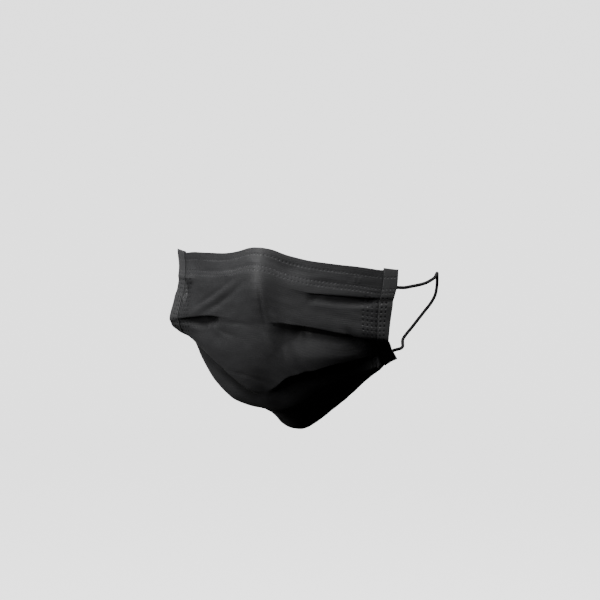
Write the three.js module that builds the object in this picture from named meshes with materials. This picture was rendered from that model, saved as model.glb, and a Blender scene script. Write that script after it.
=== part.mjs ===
// A pleated surgical mask in the form it takes on a face, in millimetres, +Z up.
// The wearer looks along -Y and their left hand is on the +X side. The origin is the nose bridge:
// the middle of the top edge, on the side that touches the face.
//
// The cloth follows a smooth worn surface. Each row of that surface is two cubic curves that leave
// the middle and end at the side edges, and the columns pass smoothly through the rows. A point is
// named by u, from -1 at the wearer's right edge to 1 at the left, by the distance down its column,
// and by the distance out from the surface.

import * as THREE from 'three';

// Driving dimensions.
const CLOTH = 1.0; // wall of the body, the three welded plies
const GAP = 0.3; // clearance between pieces that touch
const TAPE_GAP = 0.55; // clearance inside the side tapes, which bend sharply with the body
const PLEAT_RADIUS = 0.7; // middle of the wall in each turn of a pleat
const PLEAT_TUCK = 2.5; // how far a closed pleat runs back up under its lip
const PLEAT_RECOVER = 15; // the next panel comes forward again over this length
const BINDING_WIDTH = 9.5; // side tape, from its fold to its inner edge
const BINDING_WALL = 1.0;
const BINDING_PROUD = { top: 2.0, bottom: 0.8 }; // the tape stands past the body's edges
const WIRE = { width: 4.5, thickness: 0.8, halfLength: 55, depth: 7.5 }; // depth: below the top edge
const FLAP = { top: 0.8, bottom: 10.8 }; // turned-in hem, distances below the top edge
const CORD = 1.8; // stretched round elastic
const HALF_SPAN = 88; // cloth from the middle to a side edge, at any height
const COLUMNS = 34; // steps across the body
const PANEL_STEPS = [3, 4, 5, 9]; // steps down each panel between the pleats, from the top
const WIRE_STEPS = 26;
const FLAP_STEPS = 30;
const TURN_STEPS = 3; // steps in each turn of a pleat
const FLAT_STEP = 0.3; // spacing of those steps where the pleat is open flat
const BINDING_STEPS = 36;
const CORD_STEPS = 46;
const CORD_SIDES = 8;

const LEFT = 1; // the wearer's left, +X
const RIGHT = -1;

// Rows, from the top edge down. drop: cloth above the row at the middle. y, z: its middle point.
// blunt: how broadly it rounds the middle. tilt: how far it falls towards the left while it does.
const ROWS = [
  { name: 'top', drop: 0, y: 0, z: -1.3, blunt: 5, tilt: 0 },
  { name: 'hem', drop: 10, y: -4, z: -11, blunt: 8, tilt: 1 },
  { name: 'lip1', drop: 19, y: -6.5, z: -19.5, blunt: 12, tilt: 4 },
  { name: 'panel1', drop: 34, y: -8, z: -33.5, blunt: 15, tilt: 2 },
  { name: 'lip2', drop: 48, y: -7, z: -47, blunt: 17, tilt: 0 },
  { name: 'panel2', drop: 70, y: -3, z: -69, blunt: 18, tilt: -2 },
  { name: 'lip3', drop: 91, y: 6, z: -91, blunt: 18, tilt: -7 },
  { name: 'chin', drop: 108, y: 14, z: -105, blunt: 27, tilt: -1 },
  { name: 'under', drop: 119, y: 23, z: -110, blunt: 20, tilt: -1 },
  { name: 'bottom', drop: 150, y: 58, z: -128.5, blunt: 15, tilt: 0 },
];

// Where each row ends at a side edge, in the same order. x, y, z: the end, x measured outwards.
// heading: degrees that the cloth has turned towards the back there. reach: how long it holds that
// heading. climb: how far it rises per millimetre of reach as it nears the end.
const ENDS = {
  [LEFT]: [
    { x: 75.5, y: 36, z: -16.3, heading: 50, reach: 38, climb: -0.02 },
    { x: 75.5, y: 34.5, z: -25.5, heading: 50, reach: 37, climb: 0 },
    { x: 74, y: 33, z: -34, heading: 55, reach: 36, climb: 0 },
    { x: 72.5, y: 31.5, z: -47, heading: 62, reach: 34, climb: -0.1 },
    { x: 71.5, y: 31, z: -59.5, heading: 70, reach: 34, climb: -0.26 },
    { x: 68.5, y: 40.5, z: -64, heading: 72, reach: 38, climb: -0.16 },
    { x: 64.5, y: 52.5, z: -69, heading: 66, reach: 38, climb: -0.24 },
    { x: 61.5, y: 62, z: -73, heading: 60, reach: 38, climb: 0.1 },
    { x: 60.5, y: 67, z: -75.5, heading: 45, reach: 34, climb: 0.4 },
    { x: 59.5, y: 75, z: -81, heading: 24, reach: 14, climb: 0.35 },
  ],
  [RIGHT]: [
    { x: 77.4, y: 36, z: -14.8, heading: 36, reach: 40, climb: -0.03 },
    { x: 76.5, y: 36, z: -24, heading: 38, reach: 38, climb: -0.02 },
    { x: 76.5, y: 34.5, z: -31, heading: 38, reach: 38, climb: -0.04 },
    { x: 77, y: 30, z: -44.5, heading: 34, reach: 36, climb: -0.12 },
    { x: 78, y: 25, z: -57.5, heading: 26, reach: 36, climb: -0.32 },
    { x: 77, y: 34, z: -66, heading: 42, reach: 40, climb: -0.06 },
    { x: 74.5, y: 46, z: -72, heading: 62, reach: 38, climb: -0.2 },
    { x: 70, y: 57, z: -76, heading: 72, reach: 43, climb: 0.27 },
    { x: 68.5, y: 63, z: -78, heading: 60, reach: 40, climb: 0.4 },
    { x: 62, y: 74, z: -81, heading: 22, reach: 14, climb: 0.35 },
  ],
};

// Pleats, each with its lip on a row. A pleat is open flat at the middle: on each side it begins to
// fold at the share `from` of the half span and is fully closed at `to`.
const PLEATS = [
  { row: 'lip1', [LEFT]: { from: 0.2, to: 0.55 }, [RIGHT]: { from: 0.25, to: 0.7 } },
  { row: 'lip2', [LEFT]: { from: 0.14, to: 0.42 }, [RIGHT]: { from: 0.34, to: 0.58 } },
  { row: 'lip3', [LEFT]: { from: 0.12, to: 0.4 }, [RIGHT]: { from: 0.1, to: 0.4 } },
];
const PRESSED = { from: 0.83, to: 0.87 }; // the pleats are pressed flat just before the tape

// Main dents and ridges. u, down: the middle of each. along, across: its half sizes in millimetres.
// turn: degrees from level, falling towards the left. out: height of a ridge, or depth of a dent.
const RELIEF = [
  { name: 'nose ridge', u: 0.0, down: 42, along: 22, across: 7, turn: 80, out: 1.6 },
  { name: 'right cheek crease', u: -0.42, down: 37, along: 20, across: 3.5, turn: -38, out: -1.5 },
  { name: 'right cheek hollow', u: -0.6, down: 26, along: 14, across: 7, turn: -10, out: -1.4 },
  { name: 'left nose wing', u: 0.17, down: 58, along: 14, across: 4, turn: 60, out: -1.2 },
  { name: 'left cheek swell', u: 0.42, down: 58, along: 18, across: 9, turn: 8, out: 1.6 },
  { name: 'left jaw hollow', u: 0.6, down: 60, along: 9, across: 6, turn: 55, out: -1.5 },
];

// The stretched ear loops. Each strand leaves a corner from behind the tape, runs back past the
// cheek and turns plainly behind the ear. Points on the left side; the right side mirrors them.
const LOOP_TURN = [
  [75.5, 47, -29],
  [75, 62, -30.6],
  [73.4, 80, -32.6],
  [71.4, 96, -34.1],
  [68.3, 115, -35.2],
  [65.9, 127, -35.6],
  [62.7, 138, -35.6],
  [60, 146.5, -36.6],
  [58, 152, -40],
  [57, 154.5, -45.5],
  [57, 152, -51.5],
  [57, 145, -55.8],
  [57, 130, -60.5],
  [57, 110, -66.5],
  [57.4, 92, -71.6],
  [58.8, 79, -74.4],
];
const LOOP_ENDS = { upper: 11, lower: 9.5 }; // from the body's top and bottom edges to each strand
const LOOP_WELD = 7; // length of each end that lies behind the tape

const matter = {
  body: new THREE.MeshStandardMaterial({ color: 0x1b1b1c, roughness: 0.75, metalness: 0 }),
  flap: new THREE.MeshStandardMaterial({ color: 0x1e1e20, roughness: 0.8, metalness: 0 }),
  tape: new THREE.MeshStandardMaterial({ color: 0x242426, roughness: 0.7, metalness: 0 }),
  wire: new THREE.MeshStandardMaterial({ color: 0xc9ccd0, roughness: 0.45, metalness: 0.2 }),
  cord: new THREE.MeshStandardMaterial({ color: 0x0c0c0d, roughness: 0.85, metalness: 0 }),
};

/** Smooth step from 0 at `from` to 1 at `to`. */
function ease(value, from, to) {
  return THREE.MathUtils.smoothstep(value, from, to);
}

/** The half of a row that runs from the middle to one side edge. */
function halfRow(index, side) {
  const row = ROWS[index];
  const end = ENDS[side][index];
  const heading = THREE.MathUtils.degToRad(end.heading);
  const middle = new THREE.Vector3(0, row.y, row.z);
  const leave = new THREE.Vector3(side * row.blunt, row.y, row.z - side * row.tilt);
  const arrive = new THREE.Vector3(
    side * (end.x - end.reach * Math.cos(heading)),
    end.y - end.reach * Math.sin(heading),
    end.z - end.reach * end.climb,
  );
  return new THREE.CubicBezierCurve3(middle, leave, arrive, new THREE.Vector3(side * end.x, end.y, end.z));
}

const HALVES = {
  [LEFT]: ROWS.map((row, index) => halfRow(index, LEFT)),
  [RIGHT]: ROWS.map((row, index) => halfRow(index, RIGHT)),
};

/** The points where a column crosses every row. */
function crossings(u) {
  const side = u < 0 ? RIGHT : LEFT;
  return HALVES[side].map((curve) => curve.getPointAt(Math.min(1, Math.abs(u))));
}

/** A cubic through points at uneven knots, each slope taken from the point's neighbours. */
function throughPoints(points, value) {
  const last = ROWS.length - 1;
  const knot = (i) => ROWS[THREE.MathUtils.clamp(i, 0, last)].drop;
  const point = (i) => points[THREE.MathUtils.clamp(i, 0, last)];
  let i = 0;
  while (i < last - 1 && value > knot(i + 1)) i += 1;
  const span = knot(i + 1) - knot(i);
  const t = (value - knot(i)) / span;
  const slope = (j) => {
    const reach = knot(j + 1) - knot(j - 1);
    return point(j + 1).clone().sub(point(j - 1)).multiplyScalar(span / reach);
  };
  return new THREE.Vector3()
    .addScaledVector(point(i), 2 * t ** 3 - 3 * t ** 2 + 1)
    .addScaledVector(slope(i), t ** 3 - 2 * t ** 2 + t)
    .addScaledVector(point(i + 1), -2 * t ** 3 + 3 * t ** 2)
    .addScaledVector(slope(i + 1), t ** 3 - t ** 2);
}

/** One column of the worn surface, measured by the length down it. */
class Column {
  static SAMPLES = 150; // each row's drop falls on a sample
  static NUDGE = { u: 0.01, down: 0.5 }; // steps for the slopes

  constructor(u) {
    this.u = u;
    const here = crossings(u);
    const before = crossings(Math.max(-1, u - Column.NUDGE.u));
    const after = crossings(Math.min(1, u + Column.NUDGE.u));
    this.places = [];
    this.normals = [];
    this.lengths = [];
    const total = ROWS.at(-1).drop;
    for (let k = 0; k <= Column.SAMPLES; k += 1) {
      const drop = (total * k) / Column.SAMPLES;
      this.places.push(throughPoints(here, drop));
      const across = throughPoints(after, drop).sub(throughPoints(before, drop));
      const above = throughPoints(here, Math.max(0, drop - Column.NUDGE.down));
      const below = throughPoints(here, Math.min(total, drop + Column.NUDGE.down));
      this.normals.push(below.sub(above).cross(across).normalize());
      const step = k === 0 ? 0 : this.places[k].distanceTo(this.places[k - 1]);
      this.lengths.push(k === 0 ? 0 : this.lengths[k - 1] + step);
    }
    this.length = this.lengths.at(-1);
  }

  /** Length down the column at a named row. */
  downTo(name) {
    const share = ROWS.find((row) => row.name === name).drop / ROWS.at(-1).drop;
    return this.lengths[Math.round(share * Column.SAMPLES)];
  }

  /** The point `down` the column and `out` from it; past an end the column runs on straight. */
  at(down, out) {
    const inside = THREE.MathUtils.clamp(down, 0, this.length);
    let k = 0;
    while (k < Column.SAMPLES - 1 && inside > this.lengths[k + 1]) k += 1;
    const t = (inside - this.lengths[k]) / (this.lengths[k + 1] - this.lengths[k]);
    const place = this.places[k].clone().lerp(this.places[k + 1], t);
    const ahead = this.places[k + 1].clone().sub(this.places[k]).normalize();
    const normal = this.normals[k].clone().lerp(this.normals[k + 1], t).normalize();
    place.addScaledVector(ahead, down - inside);
    return place.addScaledVector(normal, out + relief(this.u, down));
  }
}

/** Height of the dents and ridges at a place on the surface. */
function relief(u, down) {
  let height = 0;
  for (const fold of RELIEF) {
    const turn = THREE.MathUtils.degToRad(fold.turn);
    const right = (u - fold.u) * HALF_SPAN;
    const below = down - fold.down;
    const along = (right * Math.cos(turn) + below * Math.sin(turn)) / fold.along;
    const across = (below * Math.cos(turn) - right * Math.sin(turn)) / fold.across;
    height += fold.out * Math.exp(-along * along - across * across);
  }
  return height * (1 - ease(Math.abs(u), 0.74, 0.86));
}

/** How far a pleat is closed at a column, from 0, flat, to 1. */
function closing(pleat, u) {
  const span = pleat[u < 0 ? RIGHT : LEFT];
  const size = Math.abs(u);
  return ease(size, span.from, span.to) * (1 - ease(size, PRESSED.from, PRESSED.to));
}

/** The turns of one pleat, as steps on from where the lip begins, for a share shut from 0 to 1. */
function pleatTurns(shut) {
  const angle = Math.PI * shut;
  const tuck = PLEAT_TUCK * shut ** 4;
  const steps = [];
  for (let k = 1; k <= TURN_STEPS; k += 1) {
    const a = (angle * k) / TURN_STEPS;
    steps.push({ down: PLEAT_RADIUS * Math.sin(a), out: -PLEAT_RADIUS * (1 - Math.cos(a)) });
  }
  const under = {
    down: PLEAT_RADIUS * Math.sin(angle) + tuck * Math.cos(angle),
    out: -PLEAT_RADIUS * (1 - Math.cos(angle)) - tuck * Math.sin(angle),
  };
  for (let k = 0; k <= TURN_STEPS; k += 1) {
    const a = angle * (1 - k / TURN_STEPS);
    steps.push({
      down: under.down + PLEAT_RADIUS * (Math.sin(angle) - Math.sin(a)),
      out: under.out - PLEAT_RADIUS * (Math.cos(a) - Math.cos(angle)),
    });
  }
  return steps.map((p, k) => ({ down: p.down + FLAT_STEP * (k + 1) * (1 - shut), out: p.out }));
}

/** The middle of the wall down one column, as { down, out } points. */
function wallPath(column) {
  const path = [{ down: 0, out: 0 }];
  const panel = (end, steps) => {
    const start = path.at(-1);
    for (let k = 1; k <= steps; k += 1) {
      const down = start.down + ((end - start.down) * k) / steps;
      path.push({ down, out: start.out * (1 - ease(down - start.down, 0, PLEAT_RECOVER)) });
    }
  };
  PLEATS.forEach((pleat, index) => {
    const shut = closing(pleat, column.u);
    const overhang = PLEAT_RADIUS * Math.sin(Math.min(Math.PI * shut, Math.PI / 2));
    panel(column.downTo(pleat.row) - overhang, PANEL_STEPS[index]);
    const lip = path.at(-1);
    pleatTurns(shut).forEach((p) => path.push({ down: lip.down + p.down, out: lip.out + p.out }));
  });
  panel(column.length, PANEL_STEPS.at(-1));
  return path;
}

/** The section of a wall of this thickness along a path: down one face and back up the other. */
function thicken(path, thickness) {
  const faces = path.map((point, k) => {
    const before = path[Math.max(0, k - 1)];
    const after = path[Math.min(path.length - 1, k + 1)];
    const down = after.down - before.down;
    const out = after.out - before.out;
    const half = thickness / 2 / Math.hypot(down, out);
    return {
      front: { down: point.down - out * half, out: point.out + down * half },
      back: { down: point.down + out * half, out: point.out - down * half },
    };
  });
  return [...faces.map((face) => face.front), ...faces.map((face) => face.back).reverse()];
}

/** A closed solid through rings of points: each ring is a closed section, and both ends are capped. */
function loft(rings) {
  const size = rings[0].length;
  const positions = rings.flat().flatMap((p) => [p.x, p.y, p.z]);
  const index = [];
  for (let i = 0; i + 1 < rings.length; i += 1) {
    for (let j = 0; j < size; j += 1) {
      const a = i * size + j;
      const b = i * size + ((j + 1) % size);
      index.push(a, b, a + size, b, b + size, a + size);
    }
  }
  const capFaces = (first, flip) => {
    for (const [a, b, c] of sectionFaces(size)) {
      index.push(first + a, first + (flip ? c : b), first + (flip ? b : c));
    }
  };
  capFaces(0, true);
  capFaces((rings.length - 1) * size, false);
  const geometry = new THREE.BufferGeometry();
  geometry.setAttribute('position', new THREE.Float32BufferAttribute(positions, 3));
  geometry.setIndex(index);
  return facingOut(geometry);
}

/** Triangles of a section that is a strip folded back on itself: point k faces point size - 1 - k. */
function sectionFaces(size) {
  const faces = [];
  for (let k = 0; k + 1 < size / 2; k += 1) {
    const mate = size - 1 - k;
    faces.push([k, k + 1, mate], [k + 1, mate - 1, mate]);
  }
  return faces;
}

/** The geometry with its faces turned outwards, whichever way they were wound. */
function facingOut(geometry) {
  const p = geometry.getAttribute('position');
  const index = geometry.getIndex().array;
  const corner = (k) => new THREE.Vector3().fromBufferAttribute(p, index[k]);
  let volume = 0;
  for (let k = 0; k < index.length; k += 3) volume += corner(k).dot(corner(k + 1).cross(corner(k + 2)));
  if (volume < 0) {
    for (let k = 0; k < index.length; k += 3) [index[k + 1], index[k + 2]] = [index[k + 2], index[k + 1]];
  }
  geometry.computeVertexNormals();
  return geometry;
}

/** The pleated body: one thin wall, from inside one side tape to inside the other. */
function maskBody() {
  const edge = 1 - (BINDING_WALL + 2 * TAPE_GAP) / HALF_SPAN;
  const rings = [];
  for (let i = 0; i <= COLUMNS; i += 1) {
    const column = new Column(edge * (-1 + (2 * i) / COLUMNS));
    rings.push(thicken(wallPath(column), CLOTH).map((p) => column.at(p.down, p.out)));
  }
  return loft(rings);
}

/** A flat strip across the mask behind the body, between two distances down and two out. */
function crossStrip(reach, steps, down, out) {
  const rings = [];
  for (let i = 0; i <= steps; i += 1) {
    const column = new Column((reach / HALF_SPAN) * (-1 + (2 * i) / steps));
    rings.push([
      column.at(down[0], out[1]),
      column.at(down[1], out[1]),
      column.at(down[1], out[0]),
      column.at(down[0], out[0]),
    ]);
  }
  return loft(rings);
}

const WIRE_FACE = -CLOTH / 2 - GAP; // fronts of the wire and the flap, behind the body
const FLAP_FACE = WIRE_FACE - WIRE.thickness - GAP;

/** The flat wire in the top hem. */
function noseWire() {
  const middle = WIRE.depth;
  const half = WIRE.width / 2;
  const down = [middle - half, middle + half];
  return crossStrip(WIRE.halfLength, WIRE_STEPS, down, [WIRE_FACE - WIRE.thickness, WIRE_FACE]);
}

/** The turned-in hem that closes the wire's pocket, between the two tapes. */
function hemFlap() {
  const reach = HALF_SPAN - BINDING_WIDTH - 2 * GAP;
  return crossStrip(reach, FLAP_STEPS, [FLAP.top, FLAP.bottom], [FLAP_FACE - CLOTH, FLAP_FACE]);
}

/** One side tape, folded round the body's edge: a narrow U all the way down the side. */
function sideBinding(side) {
  const radius = CLOTH / 2 + TAPE_GAP + BINDING_WALL / 2;
  const centre = radius + BINDING_WALL / 2;
  const path = [BINDING_WIDTH, BINDING_WIDTH / 2, centre].map((value) => ({ down: value, out: radius }));
  for (const a of [45, 90, 135]) {
    const angle = THREE.MathUtils.degToRad(a);
    path.push({ down: centre - radius * Math.sin(angle), out: radius * Math.cos(angle) });
  }
  [centre, BINDING_WIDTH / 2, BINDING_WIDTH].forEach((value) => path.push({ down: value, out: -radius }));
  const section = thicken(path, BINDING_WALL).map((p) => ({
    column: new Column(side * (1 - p.down / HALF_SPAN)),
    out: p.out,
  }));
  const rings = [];
  for (let k = 0; k <= BINDING_STEPS; k += 1) {
    const share = k / BINDING_STEPS;
    rings.push(section.map(({ column, out }) => {
      const length = column.length + BINDING_PROUD.top + BINDING_PROUD.bottom;
      return column.at(length * share - BINDING_PROUD.top, out);
    }));
  }
  return loft(rings);
}

/** One ear loop: a round cord from behind the upper corner, back, round and behind the lower one. */
function earLoop(side) {
  const out = -(CLOTH / 2 + TAPE_GAP + BINDING_WALL + 2 * GAP + CORD / 2);
  const inner = new Column(side * (1 - LOOP_WELD / HALF_SPAN));
  const edge = new Column(side);
  const points = [
    inner.at(LOOP_ENDS.upper, out),
    edge.at(LOOP_ENDS.upper, out),
    ...LOOP_TURN.map(([x, y, z]) => new THREE.Vector3(side * x, y, z)),
    edge.at(edge.length - LOOP_ENDS.lower, out),
    inner.at(inner.length - LOOP_ENDS.lower, out),
  ];
  const path = new THREE.CatmullRomCurve3(points);
  const section = new THREE.Shape();
  for (let k = 0; k < CORD_SIDES; k += 1) {
    const a = (2 * Math.PI * k) / CORD_SIDES;
    section[k === 0 ? 'moveTo' : 'lineTo']((CORD / 2) * Math.cos(a), (CORD / 2) * Math.sin(a));
  }
  section.closePath();
  return new THREE.ExtrudeGeometry(section, { steps: CORD_STEPS, extrudePath: path });
}

const mask = new THREE.Group();

/** Adds one named piece to the mask. */
function add(name, geometry, material) {
  const mesh = new THREE.Mesh(geometry, material);
  mesh.name = name;
  mask.add(mesh);
}

add('mask_body', maskBody(), matter.body);
add('hem_flap', hemFlap(), matter.flap);
add('nose_wire', noseWire(), matter.wire);
add('side_binding_left', sideBinding(LEFT), matter.tape);
add('side_binding_right', sideBinding(RIGHT), matter.tape);
add('ear_loop_left', earLoop(LEFT), matter.cord);
add('ear_loop_right', earLoop(RIGHT), matter.cord);

// The hem is as thick as its three layers, so the group steps forward to put its back at the origin.
mask.position.set(0, FLAP_FACE - CLOTH, -ROWS[0].z);

export default mask;
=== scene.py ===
"""A black pleated surgical mask, held in the form that it takes on a face.

The cloth, the side tapes, the nose strip and the ear loops are rebuilt here in fine detail around
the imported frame. Lengths in the tables are millimetres of cloth, and every mesh is in metres.
"""

from __future__ import annotations

import logging
import math
from dataclasses import dataclass, field
from enum import Enum
from typing import Callable, Sequence

import bmesh
import bpy
import numpy as np
from mathutils import Matrix, Vector, noise


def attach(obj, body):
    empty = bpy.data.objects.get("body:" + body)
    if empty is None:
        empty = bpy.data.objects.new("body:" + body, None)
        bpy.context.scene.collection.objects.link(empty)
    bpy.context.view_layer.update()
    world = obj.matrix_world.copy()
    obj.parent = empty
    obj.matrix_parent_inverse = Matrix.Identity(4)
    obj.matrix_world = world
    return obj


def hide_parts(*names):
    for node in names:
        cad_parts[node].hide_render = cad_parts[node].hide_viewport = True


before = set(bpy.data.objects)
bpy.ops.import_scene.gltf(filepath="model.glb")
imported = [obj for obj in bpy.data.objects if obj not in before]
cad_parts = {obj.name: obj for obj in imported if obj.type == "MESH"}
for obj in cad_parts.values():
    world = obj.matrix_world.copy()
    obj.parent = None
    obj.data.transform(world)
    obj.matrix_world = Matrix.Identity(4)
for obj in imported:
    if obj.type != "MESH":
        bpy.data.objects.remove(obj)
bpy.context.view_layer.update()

log = logging.getLogger("surgical_mask")

MM = 0.001
ROOT = "root"

Pair = tuple[float, float]
Colour = tuple[float, float, float]
HeightRule = Callable[[np.ndarray], np.ndarray]


# ---------------------------------------------------------------------------------------------
# The worn form


class Side(Enum):
    """The two sides of the wearer, valued by the sign of X."""

    LEFT = 1
    RIGHT = -1

    @property
    def word(self) -> str:
        """The side's name in piece and node names."""
        return self.name.lower()


@dataclass(frozen=True)
class Row:
    """One line across the mask, at its middle.

    drop is the cloth above it. blunt is how broadly it rounds the middle, and tilt how far it falls
    towards the wearer's left while it does. follow is how far it goes up and down with the crest.
    """

    name: str
    drop: float
    y: float
    z: float
    blunt: float
    tilt: float
    follow: float = 0.0


@dataclass(frozen=True)
class End:
    """Where a row ends at a side edge, x measured outwards.

    heading is in degrees, turned towards the back. reach is how long the cloth holds that heading,
    and climb how far it rises per millimetre of reach.
    """

    x: float
    y: float
    z: float
    heading: float
    reach: float
    climb: float


ROWS: tuple[Row, ...] = (
    Row("top", 0, 0, -1.3, 7, 0, follow=1),
    Row("hem", 10, -4, -11, 9, 1, follow=0.8),
    Row("lip1", 19, -6.5, -19.5, 12, 4, follow=0.3),
    Row("panel1", 34, -8, -33.5, 15, 2),
    Row("lip2", 48, -7, -47, 17, 0),
    Row("panel2", 70, -3, -69, 18, -2),
    Row("lip3", 91, 6, -91, 18, -7),
    Row("chin", 108, 14, -105, 27, -1),
    Row("under", 119, 23, -110, 20, -1),
    Row("bottom", 150, 58, -128.5, 15, 0),
)

ENDS: dict[Side, tuple[End, ...]] = {
    Side.LEFT: (
        End(75.5, 36, -16.3, 50, 38, -0.02),
        End(75.5, 34.5, -25.5, 50, 37, 0),
        End(74, 33, -34, 55, 36, 0),
        End(72.5, 31.5, -47, 62, 34, -0.1),
        End(71.5, 31, -59.5, 70, 34, -0.26),
        End(68.5, 40.5, -64, 72, 38, -0.16),
        End(64.5, 52.5, -69, 66, 38, -0.24),
        End(61.5, 62, -73, 60, 38, 0.1),
        End(60.5, 67, -75.5, 45, 34, 0.4),
        End(59.5, 75, -81, 24, 14, 0.35),
    ),
    Side.RIGHT: (
        End(77.4, 36, -14.8, 36, 40, -0.03),
        End(76.5, 36, -24, 38, 38, -0.02),
        End(76.5, 34.5, -31, 38, 38, -0.04),
        End(77, 30, -44.5, 34, 36, -0.12),
        End(78, 25, -57.5, 26, 36, -0.32),
        End(77, 34, -66, 42, 40, -0.06),
        End(74.5, 46, -72, 62, 38, -0.2),
        End(70, 57, -76, 72, 43, 0.27),
        End(68.5, 63, -78, 60, 40, 0.4),
        End(62, 74, -81, 22, 14, 0.35),
    ),
}

# How the nose strip shapes the top edge: shares of the half span, and how far it is raised there
CREST: tuple[Pair, ...] = (
    (-0.88, 0), (-0.76, 1), (-0.55, 0.2), (-0.38, -1.1), (-0.28, -1.3), (-0.19, -0.7), (-0.11, 0.2),
    (-0.05, -0.3), (0, -1), (0.08, -0.3), (0.17, -1.4), (0.34, -1.3), (0.5, 0), (0.68, 1), (0.78, 0.8),
    (0.87, 0),
)

HALF_SPAN = 88.0  # cloth from the middle to a side edge
ROUNDING_STEPS = 9  # samples in a rounded corner
FRAME_SHIFT = np.array((0.0, -2.9, 1.3))  # from the rows' own origin to the nose bridge


def rounded_table(u: np.ndarray, pairs: Sequence[Pair], soften: float) -> np.ndarray:
    """Values of a short table at some columns, its corners rounded.

    Args:
        u: the columns' shares of the half span.
        pairs: shares of the half span and their values.
        soften: the share over which a corner is rounded, each way.

    Returns:
        One value for each column.
    """
    around = np.linspace(-soften, soften, ROUNDING_STEPS)[:, None]
    places, values = zip(*pairs)
    return np.interp(u + around, places, values).mean(axis=0)


def unit(vectors: np.ndarray) -> np.ndarray:
    """The vectors, each brought to length 1."""
    return vectors / np.linalg.norm(vectors, axis=-1, keepdims=True)


def running_length(points: np.ndarray) -> np.ndarray:
    """The length along a line of points, from 0 at its first."""
    return np.concatenate([[0.0], np.cumsum(np.linalg.norm(np.diff(points, axis=0), axis=1))])


def bridge(
    start: np.ndarray, leave: np.ndarray, end: np.ndarray, arrive: np.ndarray, t: np.ndarray
) -> np.ndarray:
    """Points of a cubic curve between two points, given its slopes there.

    Args:
        start: where it begins.
        leave: its slope there.
        end: where it ends.
        arrive: its slope there.
        t: how far along the curve each point is, from 0 to 1.

    Returns:
        The points.
    """
    return (
        start * (2 * t**3 - 3 * t**2 + 1)
        + leave * (t**3 - 2 * t**2 + t)
        + end * (3 * t**2 - 2 * t**3)
        + arrive * (t**3 - t**2)
    )


def ease(value: np.ndarray | float, start: float, end: np.ndarray | float) -> np.ndarray:
    """Smooth step from 0 at start to 1 at end."""
    t = np.clip((np.asarray(value, float) - start) / (end - start), 0.0, 1.0)
    return t * t * (3.0 - 2.0 * t)


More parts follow.
